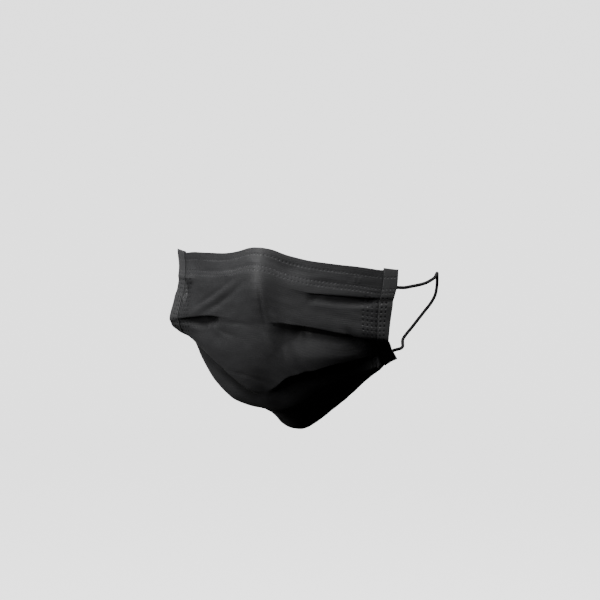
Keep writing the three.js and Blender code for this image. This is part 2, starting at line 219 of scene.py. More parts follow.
class WornSurface:
    """The smooth form under the pleats: rows of two cubic curves, joined down each column."""

    ARC_STEPS = 200
    DROP_STEPS = 300
    NUDGE = 0.01  # share of the half span between the columns that give a slope
    CREST_SOFTEN = 0.04  # share of the half span over which the crest is rounded

    def __init__(self, rows: Sequence[Row], ends: dict[Side, tuple[End, ...]]) -> None:
        """Measures every half row.

        Args:
            rows: the lines across the mask, from the top down.
            ends: where each row ends, for each side.
        """
        self.knots = np.array([row.drop for row in rows], float)
        self.follow = np.array([row.follow for row in rows], float)
        self.names = [row.name for row in rows]
        self.halves = {
            side: [self._half(row, end, side) for row, end in zip(rows, ends[side])] for side in Side
        }

    @staticmethod
    def _half(row: Row, end: End, side: Side) -> tuple[np.ndarray, np.ndarray]:
        """Half of a row.

        Args:
            row: the row, which gives its middle.
            end: where it ends on this side.
            side: the side.

        Returns:
            Its curve's four control points, and the share of its length at each step along it.
        """
        heading = math.radians(end.heading)
        sign = side.value
        control = np.array(
            (
                (0.0, row.y, row.z),
                (sign * row.blunt, row.y, row.z - sign * row.tilt),
                (
                    sign * (end.x - end.reach * math.cos(heading)),
                    end.y - end.reach * math.sin(heading),
                    end.z - end.reach * end.climb,
                ),
                (sign * end.x, end.y, end.z),
            )
        )
        points = WornSurface._bezier(control, np.linspace(0, 1, WornSurface.ARC_STEPS + 1))
        lengths = running_length(points)
        return control, lengths / lengths[-1]

    @staticmethod
    def _bezier(control: np.ndarray, t: np.ndarray) -> np.ndarray:
        """Points of a cubic curve.

        Args:
            control: its four control points.
            t: how far along the curve each point is, from 0 to 1.

        Returns:
            The points.
        """
        t = t[:, None]
        s = 1.0 - t
        return s**3 * control[0] + 3 * s * s * t * control[1] + 3 * s * t * t * control[2] + t**3 * control[3]

    def crossings(self, u: np.ndarray) -> np.ndarray:
        """Where columns cross the rows.

        Args:
            u: shares of the half span, from -1 at the wearer's right to 1 at the left.

        Returns:
            Points, indexed by column and row.
        """
        found = np.zeros((len(u), len(self.knots), 3))
        steps = np.linspace(0, 1, self.ARC_STEPS + 1)
        for side in Side:
            chosen = u < 0 if side is Side.RIGHT else u >= 0
            size = np.minimum(np.abs(u[chosen]), 1.0)
            for index, (control, shares) in enumerate(self.halves[side]):
                found[chosen, index] = self._bezier(control, np.interp(size, shares, steps))
        found[:, :, 2] += rounded_table(u, CREST, self.CREST_SOFTEN)[:, None] * self.follow
        return found

    def through(self, points: np.ndarray, drops: np.ndarray) -> np.ndarray:
        """Smooth curves through each column's crossings.

        Args:
            points: crossings, indexed by column and row.
            drops: how much cloth lies above each wanted point, at the middle of the mask.

        Returns:
            Points, indexed by column and drop.
        """
        last = len(self.knots) - 1
        index = np.clip(np.searchsorted(self.knots, drops, side="left") - 1, 0, last - 1)
        below = np.minimum(np.arange(last + 1) + 1, last)
        above = np.maximum(np.arange(last + 1) - 1, 0)
        slopes = (points[:, below] - points[:, above]) / (self.knots[below] - self.knots[above])[:, None]
        span = (self.knots[index + 1] - self.knots[index])[:, None]
        t = ((drops - self.knots[index]) / span[:, 0])[:, None]
        after = index + 1
        return bridge(points[:, index], slopes[:, index] * span, points[:, after], slopes[:, after] * span, t)

    def columns(self, u: np.ndarray) -> Columns:
        """Some columns, with their normals and lengths.

        Args:
            u: their shares of the half span, from -1 at the wearer's right to 1 at the left.

        Returns:
            The columns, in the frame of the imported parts.
        """
        drops = np.linspace(0, self.knots[-1], self.DROP_STEPS + 1)
        places = self.through(self.crossings(u), drops)
        left = self.through(self.crossings(np.minimum(u + self.NUDGE, 1.0)), drops)
        right = self.through(self.crossings(np.maximum(u - self.NUDGE, -1.0)), drops)
        normals = unit(np.cross(np.gradient(places, axis=1), left - right))
        steps = np.linalg.norm(np.diff(places, axis=1), axis=2)
        lengths = np.concatenate([np.zeros((len(u), 1)), np.cumsum(steps, axis=1)], axis=1)
        rows = {name: self._length_at(lengths, drops, drop) for name, drop in zip(self.names, self.knots)}
        return Columns(u, places + FRAME_SHIFT, normals, lengths, rows)

    @staticmethod
    def _length_at(lengths: np.ndarray, drops: np.ndarray, drop: float) -> np.ndarray:
        """Each column's length down to a drop."""
        return lengths[:, int(round(drop / drops[-1] * (len(drops) - 1)))]


@dataclass
class Columns:
    """Some columns of the worn surface, each measured by the length down it.

    rows holds each column's length down to every named row.
    """

    u: np.ndarray
    places: np.ndarray
    normals: np.ndarray
    lengths: np.ndarray
    rows: dict[str, np.ndarray]

    @property
    def total(self) -> np.ndarray:
        """Each column's whole length."""
        return self.lengths[:, -1]

    def at(self, down: np.ndarray, out: np.ndarray) -> tuple[np.ndarray, np.ndarray]:
        """Places on or near the surface.

        Args:
            down: lengths down each column, indexed by column and point. Past an end it runs on straight.
            out: heights above the surface, indexed likewise.

        Returns:
            The points, in millimetres, and the surface's normals there.
        """
        points = np.zeros((*down.shape, 3))
        normals = np.zeros_like(points)
        for i, lengths in enumerate(self.lengths):
            inside = np.clip(down[i], 0.0, lengths[-1])
            for axis in range(3):
                points[i, :, axis] = np.interp(inside, lengths, self.places[i, :, axis])
                normals[i, :, axis] = np.interp(inside, lengths, self.normals[i, :, axis])
            first_step = self.places[i, 1] - self.places[i, 0]
            last_step = self.places[i, -1] - self.places[i, -2]
            ahead = unit(np.where((down[i] < 0)[:, None], first_step, last_step))
            points[i] += ahead * (down[i] - inside)[:, None]
        normals = unit(normals)
        return points + normals * out[..., None], normals


SURFACE = WornSurface(ROWS, ENDS)


# ---------------------------------------------------------------------------------------------
# Folds, dents and pressed spots, in millimetres of cloth


@dataclass(frozen=True)
class Relief:
    """A soft ridge or dent.

    u and down name its middle. along and across are its half sizes, turn its angle from level,
    falling towards the wearer's left, and out its height, or its depth if negative.
    """

    name: str
    u: float
    down: float
    along: float
    across: float
    turn: float
    out: float

    def height(self, u: np.ndarray, down: np.ndarray) -> np.ndarray:
        """Its height.

        Args:
            u: places across the cloth, as shares of the half span.
            down: places down it.

        Returns:
            The height at each place.
        """
        turn = math.radians(self.turn)
        right = (u - self.u) * HALF_SPAN
        below = down - self.down
        along = (right * math.cos(turn) + below * math.sin(turn)) / self.along
        across = (below * math.cos(turn) - right * math.sin(turn)) / self.across
        return self.out * np.exp(-along * along - across * across)


RELIEF: tuple[Relief, ...] = (
    Relief("nose bridge swell", 0.03, 25, 12, 8.5, 80, 2.6),
    Relief("nose side hollow", 0.2, 9, 10, 5.5, 10, -2.2),
    Relief("nose ridge", 0.02, 39, 15, 9, 80, 1.3),
    Relief("nose crease", 0.05, 35, 11, 1.3, 79, -0.5),
    Relief("nose wing fold", 0.15, 40, 7, 3.6, 66, 0.8),
    Relief("lower nose crease", 0.165, 57, 11, 1.4, 50, -0.45),
    Relief("lower nose fold", 0.12, 59, 11, 4, 52, 0.7),
    Relief("left cheek crease", 0.31, 64, 13, 3, 64, -0.8),
    Relief("mouth swell", 0.08, 66, 36, 20, 0, 4.6),
    Relief("chin swell", 0.2, 92, 32, 20, 0, 7.0),
    Relief("left cheek swell", 0.68, 78, 27, 19, 0, 7.5),
    Relief("right jaw swell", -0.4, 106, 16, 12, -30, 2.5),
    Relief("chin edge swell", -0.08, 150, 13, 13, 0, 3.5),
    Relief("chin edge dent", -0.14, 118, 8, 6, 0, -1.0),
    Relief("left jaw hollow", 0.38, 96, 28, 13, -12, -6.0),
    Relief("left jaw crease", 0.7, 47, 7, 3, 55, -2.0),
    Relief("left jaw fold", 0.78, 69, 9, 3.5, -14, 2.0),
    Relief("right cheek lower crease", -0.36, 31, 21, 2.4, -23, -0.9),
    Relief("right cheek ridge", -0.5, 31.5, 19, 2.2, -24, 0.7),
    Relief("right cheek upper crease", -0.5, 27.5, 20, 1.8, -24, -0.6),
    Relief("right side wrinkle", -0.28, 51.5, 11, 1.3, 18, -0.5),
    Relief("right side dimple", -0.38, 54, 4, 3, 10, -0.5),
    Relief("right jaw wrinkle", -0.12, 79.5, 12, 1.2, 18, -0.45),
    Relief("mouth crease", -0.2, 46, 16, 1.3, 12, -0.4),
)


@dataclass(frozen=True)
class Ripple:
    """Small unevenness of the cloth: smooth noise, longer across the mask than down it."""

    across: float
    down: float
    out: float
    seed: float

    def height(self, u: np.ndarray, down: np.ndarray) -> np.ndarray:
        """Its height.

        Args:
            u: places across the cloth, as shares of the half span.
            down: places down it.

        Returns:
            The height at each place.
        """
        found = [
            noise.noise(Vector((x * HALF_SPAN / self.across, y / self.down, self.seed)))
            for x, y in zip(u.ravel(), down.ravel())
        ]
        return self.out * np.array(found).reshape(u.shape)


RIPPLES: tuple[Ripple, ...] = (
    Ripple(26, 12, 0.55, 3.7),
    Ripple(11, 4.5, 0.22, 11.2),
)
CALM = (0.83, 0.895)  # the unevenness dies out between these shares of the half span


@dataclass(frozen=True)
class PleatSide:
    """One half of a pleat, its places as shares of the half span.

    It begins to fold at start and has turned right back at shut. Round middle, within spread of it,
    the lip stands forward by lift, which the cloth above gains over reach. The cloth under it slopes
    back by sink over the length run, and its colour is darkened by the part shade over the length
    shade_run: a painted shade under the lip.
    """

    start: float
    shut: float
    middle: float
    spread: float
    lift: float
    reach: float = 12.0
    sink: float = 0.0
    run: float = 1.0
    # painted shade: how much the colour under the lip is darkened, and over what length
    shade: float = 0.0
    shade_run: float = 4.0

    BEFORE = 0.1  # share of the half span before start at which the lip begins
    AFTER = 0.03  # and after it at which the lip has fully begun

    def bell(self, size: np.ndarray) -> np.ndarray:
        """How much of lift and sink there is at shares of the half span."""
        begun = ease(size, self.start - self.BEFORE, self.start + self.AFTER)
        return np.exp(-(((size - self.middle) / self.spread) ** 2)) * begun


@dataclass(frozen=True)
class Pleat:
    """A fold that opens towards the middle.

    share is how much of the spare cloth it takes up. The lip follows its row, moved down by moves:
    pairs of a share of the half span and a distance.
    """

    row: str
    share: float
    sides: dict[Side, PleatSide]
    moves: tuple[Pair, ...]

    SOFTEN = 0.05  # share of the half span over which the moves are rounded
    BLEND = 0.16  # and over which one half's shape turns into the other's
    LEAST_RUN = 0.6

    def angle(self, u: np.ndarray) -> np.ndarray:
        """How far each turn has folded, in radians."""
        return math.pi * self._pick(u, lambda half, size: ease(size, half.start, half.shut))

    def lift(self, u: np.ndarray) -> np.ndarray:
        """How far the lip stands forward."""
        return self._pick(u, lambda half, size: half.lift * half.bell(size))

    def reach(self, u: np.ndarray) -> np.ndarray:
        """Over what length above the lip it comes forward."""
        return self._pick(u, lambda half, size: half.reach + 0 * size)

    def sink(self, u: np.ndarray) -> np.ndarray:
        """How far the cloth under the lip slopes back."""
        return self._pick(u, lambda half, size: half.sink * half.bell(size))

    def run(self, u: np.ndarray) -> np.ndarray:
        """Over what length it does."""
        return self._pick(u, lambda half, size: half.run * half.bell(size)) + self.LEAST_RUN

    def shade(self, u: np.ndarray) -> np.ndarray:
        """How much painted shade darkens the cloth's colour right under the lip."""
        return self._pick(u, lambda half, size: half.shade * half.bell(size))

    def shade_run(self, u: np.ndarray) -> np.ndarray:
        """Over what length the painted shade lies."""
        return self._pick(u, lambda half, size: half.shade_run + 0 * size)

    def lip(self, columns: Columns) -> np.ndarray:
        """Where the lip is, down each column."""
        return columns.rows[self.row] + rounded_table(columns.u, self.moves, self.SOFTEN)

    def _pick(self, u: np.ndarray, rule: Callable[[PleatSide, np.ndarray], np.ndarray]) -> np.ndarray:
        """A rule of each half, taken from the half that a column is on and blended at the middle.

        Args:
            u: the columns' shares of the half span.
            rule: works a value out from a half and the sizes of the shares.

        Returns:
            One value for each column.
        """
        size = np.abs(u)
        left = ease(u, -self.BLEND, self.BLEND)
        return rule(self.sides[Side.RIGHT], size) * (1 - left) + rule(self.sides[Side.LEFT], size) * left


PLEATS: tuple[Pleat, ...] = (
    Pleat(
        "lip1",
        0.17,
        {
            Side.LEFT: PleatSide(0.3, 0.5, middle=0.6, spread=0.28, lift=0.6, reach=19, sink=0.6, run=2.2),
            Side.RIGHT: PleatSide(0.8, 0.9, middle=0.8, spread=0.5, lift=2.4, reach=19, sink=0.8, run=9.0),
        },
        ((-0.9, 0), (0.4, 0), (0.6, -1), (0.9, -1), (1, -0.6)),
    ),
    Pleat(
        "lip2",
        0.42,
        {
            Side.LEFT: PleatSide(
                0.18,
                0.4,
                middle=0.45,
                spread=0.4,
                lift=0.8,
                reach=16,
                sink=3.4,
                run=4.6,
                shade=0.8,
                shade_run=9,
            ),
            Side.RIGHT: PleatSide(
                0.28, 0.55, middle=0.6, spread=0.2, lift=0.8, sink=2.0, run=5.0, shade=0.45, shade_run=13
            ),
        },
        ((-1, 1), (-0.7, 1), (-0.5, 0), (0, 0), (0.15, -1.6), (0.35, -1), (0.55, 0), (0.87, 2.2), (1, 1.5)),
    ),
    Pleat(
        "lip3",
        0.41,
        {
            Side.LEFT: PleatSide(0.08, 0.26, middle=0.5, spread=0.38, lift=7.5, reach=17, sink=3.0, run=10.0),
            Side.RIGHT: PleatSide(
                0.08,
                0.26,
                middle=0.3,
                spread=0.4,
                lift=2.2,
                reach=28,
                sink=1.6,
                run=4.0,
                shade=0.75,
                shade_run=15,
            ),
        },
        (
            (-1, 0), (-0.7, -2.5), (-0.5, -5), (-0.3, -6.5), (-0.17, -4.5), (-0.08, -1.5), (-0.01, 0.3),
            (0.075, -2.2), (0.12, -5.7), (0.16, -10), (0.33, -10.5), (0.5, -12.5), (0.6, -12), (0.72, -11),
            (0.87, -5), (1, -1),
        ),
    ),
)


@dataclass(frozen=True)
class WeldRow:
    """A row of pressed spots across the hem, down below the top edge, at a pitch along it."""

    down: float
    pitch: float
    half_width: float
    half_height: float


@dataclass(frozen=True)
class WeldGrid:
    """The grid of pressed spots down each side, across from first to last, in steps of pitch."""

    first: float = 68.3
    last: float = 83.3
    pitch: float = 3.0
    row_pitch: float = 2.9
    half_size: float = 0.7
    top: float = 17.0  # above this the hem's own rows begin


@dataclass(frozen=True)
class StopBars:
    """Two short upright welds that hold each end of the nose strip."""

    across: Pair = (60.3, 63.3)
    top: float = 6.4
    bottom: float = 9.8
    half_width: float = 0.5
    rise: float = 0.3


HEM_RADIUS = 0.25  # of the turns round the top and bottom edges
HEM_STEP = 0.52  # spacing of the hem's fine rows of points, and of the rows of welds on them
HEM_WELDS: tuple[WeldRow, ...] = (
    WeldRow(HEM_RADIUS + 8 * HEM_STEP, 2.4, 0.5, 0.62),
    WeldRow(HEM_RADIUS + 22 * HEM_STEP, 2.4, 0.56, 0.5),
    WeldRow(HEM_RADIUS + 27 * HEM_STEP, 2.4, 0.56, 0.5),
)
SIDE_WELDS = WeldGrid()
STOP_BARS = StopBars()


def spot(x: np.ndarray, y: np.ndarray, width: float, height: float) -> np.ndarray:
    """A round-edged dent, from 0 outside to 1 in its middle, for offsets from that middle."""
    return np.exp(-(((x / width) ** 2 + (y / height) ** 2) ** 2))


def nearest(value: np.ndarray, pitch: float) -> np.ndarray:
    """Offset from the nearest multiple of a pitch."""
    return value - pitch * np.round(value / pitch)


def pressed(x: np.ndarray, down: np.ndarray) -> np.ndarray:
    """How deeply the welds press the cloth.

    Args:
        x: places across the cloth.
        down: places down it.

    Returns:
        The depth at each place, from 0 to 1.
    """
    depth = np.zeros_like(x)
    for row in HEM_WELDS:
        dots = spot(nearest(x, row.pitch), down - row.down, row.half_width, row.half_height)
        depth = np.maximum(depth, dots)
    grid = SIDE_WELDS
    size = np.abs(x)
    inside = (size > grid.first - grid.pitch / 2) & (size < grid.last + grid.pitch / 2) & (down > grid.top)
    dots = spot(nearest(size - grid.first, grid.pitch), nearest(down, grid.row_pitch), *[grid.half_size] * 2)
    return np.maximum(depth, np.where(inside, dots, 0.0))


# ---------------------------------------------------------------------------------------------
# Meshes


class MeshMaker:
    """Turns grids of points, in millimetres, into meshes in metres."""

    CLOTH_MAP = "cloth"
    # the point attribute of painted shade: how much a fold's shade darkens the cloth's colour
    TUCKED = "tucked"

    @staticmethod
    def _ring(columns: int, rows: int) -> list[int]:
        """The border of a grid whose points are numbered column by column.

        Args:
            columns: the number of columns.
            rows: the number of points in each.

        Returns:
            The numbers of the border points, in order.
        """
        up = [c * rows for c in range(columns)]
        right = [(columns - 1) * rows + r for r in range(1, rows)]
        back = [c * rows + rows - 1 for c in range(columns - 2, -1, -1)]
        left = list(range(rows - 2, 0, -1))
        return up + right + back + left

    @staticmethod
    def _quads(columns: int, rows: int, first: int, flip: bool) -> list[tuple[int, ...]]:
        """The faces of a grid whose points are numbered column by column.

        Args:
            columns: the number of columns.
            rows: the number of points in each.
            first: the number of the first point.
            flip: whether the faces are turned over.

        Returns:
            The faces, as numbers of points.
        """
        faces = []
        for c in range(columns - 1):
            for r in range(rows - 1):
                a = first + c * rows + r
                face = (a, a + 1, a + rows + 1, a + rows)
                faces.append(face[::-1] if flip else face)
        return faces

    @staticmethod
    def bands(count: int, sides: int, first: int) -> list[tuple[int, ...]]:
        """The faces between closed rings of points.

        Args:
            count: the number of rings.
            sides: the number of points in each.
            first: the number of the first point.

        Returns:
            The faces, as numbers of points.
        """
        faces = []
        for ring in range(count - 1):
            start = first + ring * sides
            for k in range(sides):
                a, b = start + k, start + (k + 1) % sides
                faces.append((a, b, b + sides, a + sides))
        return faces

    @staticmethod
    def _corners(mesh: bpy.types.Mesh) -> np.ndarray:
        """The number of the point at each corner of each face.

        Args:
            mesh: the mesh.

        Returns:
            The numbers.
        """
        corners = np.zeros(len(mesh.loops), np.int32)
        mesh.loops.foreach_get("vertex_index", corners)
        return corners

    @classmethod
    def _lay_flat(cls, mesh: bpy.types.Mesh, flat: np.ndarray) -> None:
        """Writes down where each corner of each face lies on the flat cloth, in millimetres."""
        layer = mesh.uv_layers.new(name=cls.CLOTH_MAP)
        layer.uv.foreach_set("vector", flat.astype(np.float32).ravel())

    @classmethod
    def sheet(
        cls,
        name: str,
        front: np.ndarray,
        back: np.ndarray,
        cloth: np.ndarray,
        thin: int = 1,
        tucked: np.ndarray | None = None,
    ) -> bpy.types.Object:
        """A closed sheet with a front and a back.

        Args:
            name: the piece's name.
            front: points of the front, indexed by column and row.
            back: points of the back, likewise.
            cloth: where each point lies on the flat cloth, in millimetres.
            thin: the back keeps every point of this many, each way, and may be 1 or 2.
            tucked: how much painted shade under a fold darkens each point's colour, from 0 to 1.

        Returns:
            The piece.
        """
        columns, rows = front.shape[:2]
        kept = back[::thin, ::thin]
        points = np.concatenate([front.reshape(-1, 3), kept.reshape(-1, 3)]) * MM
        first = columns * rows
        faces = cls._quads(columns, rows, 0, True) + cls._quads(*kept.shape[:2], first, False)
        ring = cls._ring(columns, rows)
        mates = [first + k for k in cls._ring(*kept.shape[:2])]
        for k, mate in enumerate(mates):
            following = mates[(k + 1) % len(mates)]
            near = [ring[(k * thin + step) % len(ring)] for step in range(thin + 1)]
            if thin == 1:
                faces.append((near[0], near[1], following, mate))
            else:
                faces += [(near[0], near[1], mate), (near[1], following, mate), (near[1], near[2], following)]
        mesh = bpy.data.meshes.new(name)
        mesh.from_pydata(points.tolist(), [], faces)
        flat = np.concatenate([cloth.reshape(-1, 2), cloth[::thin, ::thin].reshape(-1, 2)])
        cls._lay_flat(mesh, flat[cls._corners(mesh)])
        if tucked is not None:
            values = np.concatenate([tucked.ravel(), tucked[::thin, ::thin].ravel()]).astype(np.float32)
            mesh.attributes.new(cls.TUCKED, "FLOAT", "POINT").data.foreach_set("value", values)
        return cls.placed(name, mesh)

    @classmethod
    def tube(cls, name: str, rings: np.ndarray, round_it: np.ndarray, along: np.ndarray) -> bpy.types.Object:
        """A closed tube.

        Args:
            name: the piece's name.
            rings: points, indexed by ring and side.
            round_it: how far round the tube each side is, in millimetres.
            along: how far along it each ring is.

        Returns:
            The piece.
        """
        count, sides = rings.shape[:2]
        points = rings.reshape(-1, 3) * MM
        caps = [tuple(range(sides)), tuple(range((count - 1) * sides, count * sides))]
        mesh = bpy.data.meshes.new(name)
        mesh.from_pydata(points.tolist(), [], caps + cls.bands(count, sides, 0))
        flat = np.stack([np.tile(round_it, count), np.repeat(along, sides)], axis=1)[cls._corners(mesh)]
        wide = round_it[1] * sides
        starts = np.repeat([p.loop_start for p in mesh.polygons], [p.loop_total for p in mesh.polygons])
        seam = (flat[starts, 0] > wide / 2) & (flat[:, 0] < wide / 4)
        flat[seam, 0] += wide
        cls._lay_flat(mesh, flat)
        return cls.placed(name, mesh)

    @staticmethod
    def placed(name: str, mesh: bpy.types.Mesh) -> bpy.types.Object:
        """Puts a mesh in the scene, smooth and with its faces turned out.

        Args:
            name: the piece's name.
            mesh: its mesh.

        Returns:
            The piece.
        """
        mesh.validate()
        shell = bmesh.new()
        shell.from_mesh(mesh)
        bmesh.ops.recalc_face_normals(shell, faces=shell.faces)
        shell.to_mesh(mesh)
        shell.free()
        mesh.shade_smooth()
        piece = bpy.data.objects.new(name, mesh)
        bpy.context.scene.collection.objects.link(piece)
        return piece


def cloth_normals(middle: np.ndarray) -> np.ndarray:
    """Normals of a grid of points.

    Args:
        middle: the points, indexed by column and row.

    Returns:
        The normals, on the side that faces out where the rows run down.
    """
    across = np.gradient(middle, axis=0)
    along = np.gradient(middle, axis=1)
    return unit(np.cross(along, across))


class ColumnPaths:
    """The run of the cloth down many columns at once, as distances down and out of the surface."""

    UNFOLDED_STEP = 0.06  # keeps a turn's points apart where it is open

    def __init__(self, down: np.ndarray, out: np.ndarray) -> None:
        """Starts at one point of each column."""
        self.downs = [down]
        self.outs = [out]

    @property
    def down(self) -> np.ndarray:
        """Distances down, indexed by column and point."""
        return np.stack(self.downs, axis=1)

    @property
    def out(self) -> np.ndarray:
        """Distances out, indexed by column and point."""
        return np.stack(self.outs, axis=1)

    def to(self, down: np.ndarray, out: np.ndarray) -> None:
        """Adds one point to each column."""
        self.downs.append(down)
        self.outs.append(out)

    def line(self, end: np.ndarray, steps: int, out: HeightRule) -> None:
        """Runs on to a distance down.

        Args:
            end: the distance down at which each column's run ends.
            steps: the number of points added.
            out: the height at a distance down.
        """
        start = self.downs[-1]
        for k in range(1, steps + 1):
            down = start + (end - start) * k / steps
            self.to(down, out(down))

    def turns(self, angle: np.ndarray, radius: np.ndarray, tuck: np.ndarray, steps: tuple[int, int]) -> None:
        """Folds back under itself by an angle, runs up a tuck and turns down again.

        Args:
            angle: how far each turn folds.
            radius: the radius of each turn.
            tuck: the length between the turns.
            steps: points in each turn, and along the tuck.
        """
        spread = self.UNFOLDED_STEP * (1 - angle / math.pi)
        down, out = self.downs[-1], self.outs[-1]
        for k in range(1, steps[0] + 1):
            a = angle * k / steps[0]
            self.to(down + radius * np.sin(a) + k * spread, out - radius * (1 - np.cos(a)))
        down, out = self.downs[-1], self.outs[-1]
        for k in range(1, steps[1] + 1):
            run = tuck * k / steps[1]
            self.to(down + run * np.cos(angle) + k * spread, out - run * np.sin(angle))
        down, out = self.downs[-1], self.outs[-1]
        for k in range(1, steps[0] + 1):
            a = angle * (1 - k / steps[0])
            self.to(
                down + radius * (np.sin(angle) - np.sin(a)) + k * spread,
                out - radius * (np.cos(a) - np.cos(angle)),
            )


@dataclass
class DrapedLip:
    """How one lip draws the cloth round it off the surface, in many columns at once.

    place is its distance down, and room the length of the panel under it.
    """

    place: np.ndarray
    room: np.ndarray
    lift: np.ndarray
    reach: np.ndarray
    sink: np.ndarray
    run: np.ndarray

    UNFOLD = 5.0  # the least length over which its lift is lost under it
    RECOVER = (3.0, 24.0)  # and the least and most over which the sunk cloth comes forward again
    ROOM_USED = 0.9  # share of the panel in which it does

    def height(self, down: np.ndarray) -> np.ndarray:
        """Height of the cloth.

        Args:
            down: distances down the columns, indexed by column, or by column and point.

        Returns:
            The heights, indexed likewise.
        """
        parts = (self.place, self.room, self.lift, self.reach, self.sink, self.run)
        place, room, lift, reach, sink, run = (part.reshape(-1, *[1] * (down.ndim - 1)) for part in parts)
        above = lift * np.clip(1 - (place - down) / reach, 0, 1) ** 1.5
        below = down - place
        fall = lift * (1 - ease(below, 0, np.maximum(run, self.UNFOLD)))
        least, most = self.RECOVER
        recover = np.maximum(np.minimum(most, room * self.ROOM_USED - run), least)
        dip = sink * (np.clip(below / run, 0, 1) - ease(below - run, 0, recover))
        return np.where(below < 0, above, fall - dip)


@dataclass
class NoseStrip:
    """The flat wire in the top hem: a thin coated strip with a core along each edge."""

    node: str = "nose_wire"
    half_length: float = 55.0
    width: float = 4.5
    thickness: float = 0.8
    depth: float = 7.5  # its middle, below the top edge
    out: float = -0.25  # its middle, from the surface
    core: float = 1.25  # from its middle to each core
    core_half: float = 0.5  # how broadly a core raises it, each way
    web: float = 0.6  # its thickness between the cores, as a share
    edge_loss: float = 0.8  # how much of the thickness its edges lose
    across_steps: int = 14
    along_steps: int = 110
    hem_swell: float = 0.22  # how far it pushes each layer of the hem out
    beside_fade: Pair = (-0.4, 1.2)  # where the push dies out, from its edges
    end_fade: Pair = (-1.0, 2.0)  # and from its ends

    def swell(self, x: np.ndarray, down: np.ndarray) -> np.ndarray:
        """How far the hem is pushed out.

        Args:
            x: places across the cloth.
            down: places down it.

        Returns:
            The distance at each place.
        """
        edge = self.width / 2
        beside = 1 - ease(np.abs(down - self.depth), edge + self.beside_fade[0], edge + self.beside_fade[1])
        within = 1 - ease(np.abs(x), self.half_length + self.end_fade[0], self.half_length + self.end_fade[1])
        return self.hem_swell * beside * within

    def build(self, body: MaskBody) -> bpy.types.Object:
        """Makes the strip.

        Args:
            body: the cloth, between the layers of whose hem it lies.

        Returns:
            The piece.
        """
        across = np.linspace(-1, 1, self.across_steps + 1) * self.width / 2
        along = np.linspace(-1, 1, self.along_steps + 1)
        columns = SURFACE.columns(along * self.half_length / HALF_SPAN)
        cores = spot(np.abs(across) - self.core, 0 * across, self.core_half, 1.0)
        edges = np.sqrt(1 - (across / across[-1]) ** 4 * self.edge_loss)
        half = (self.web + (1 - self.web) * cores) * self.thickness / 2 * edges
        down = np.broadcast_to(self.depth + across, (len(columns.u), len(across)))
        x = np.broadcast_to((columns.u * HALF_SPAN)[:, None], down.shape)
        middle = self.out + body.drape(columns, down) + body.unevenness(x / HALF_SPAN, down)
        front, _ = columns.at(down, middle + half)
        back, _ = columns.at(down, middle - half)
        return MeshMaker.sheet("nose_strip", front, back, np.stack([x, down], axis=2))


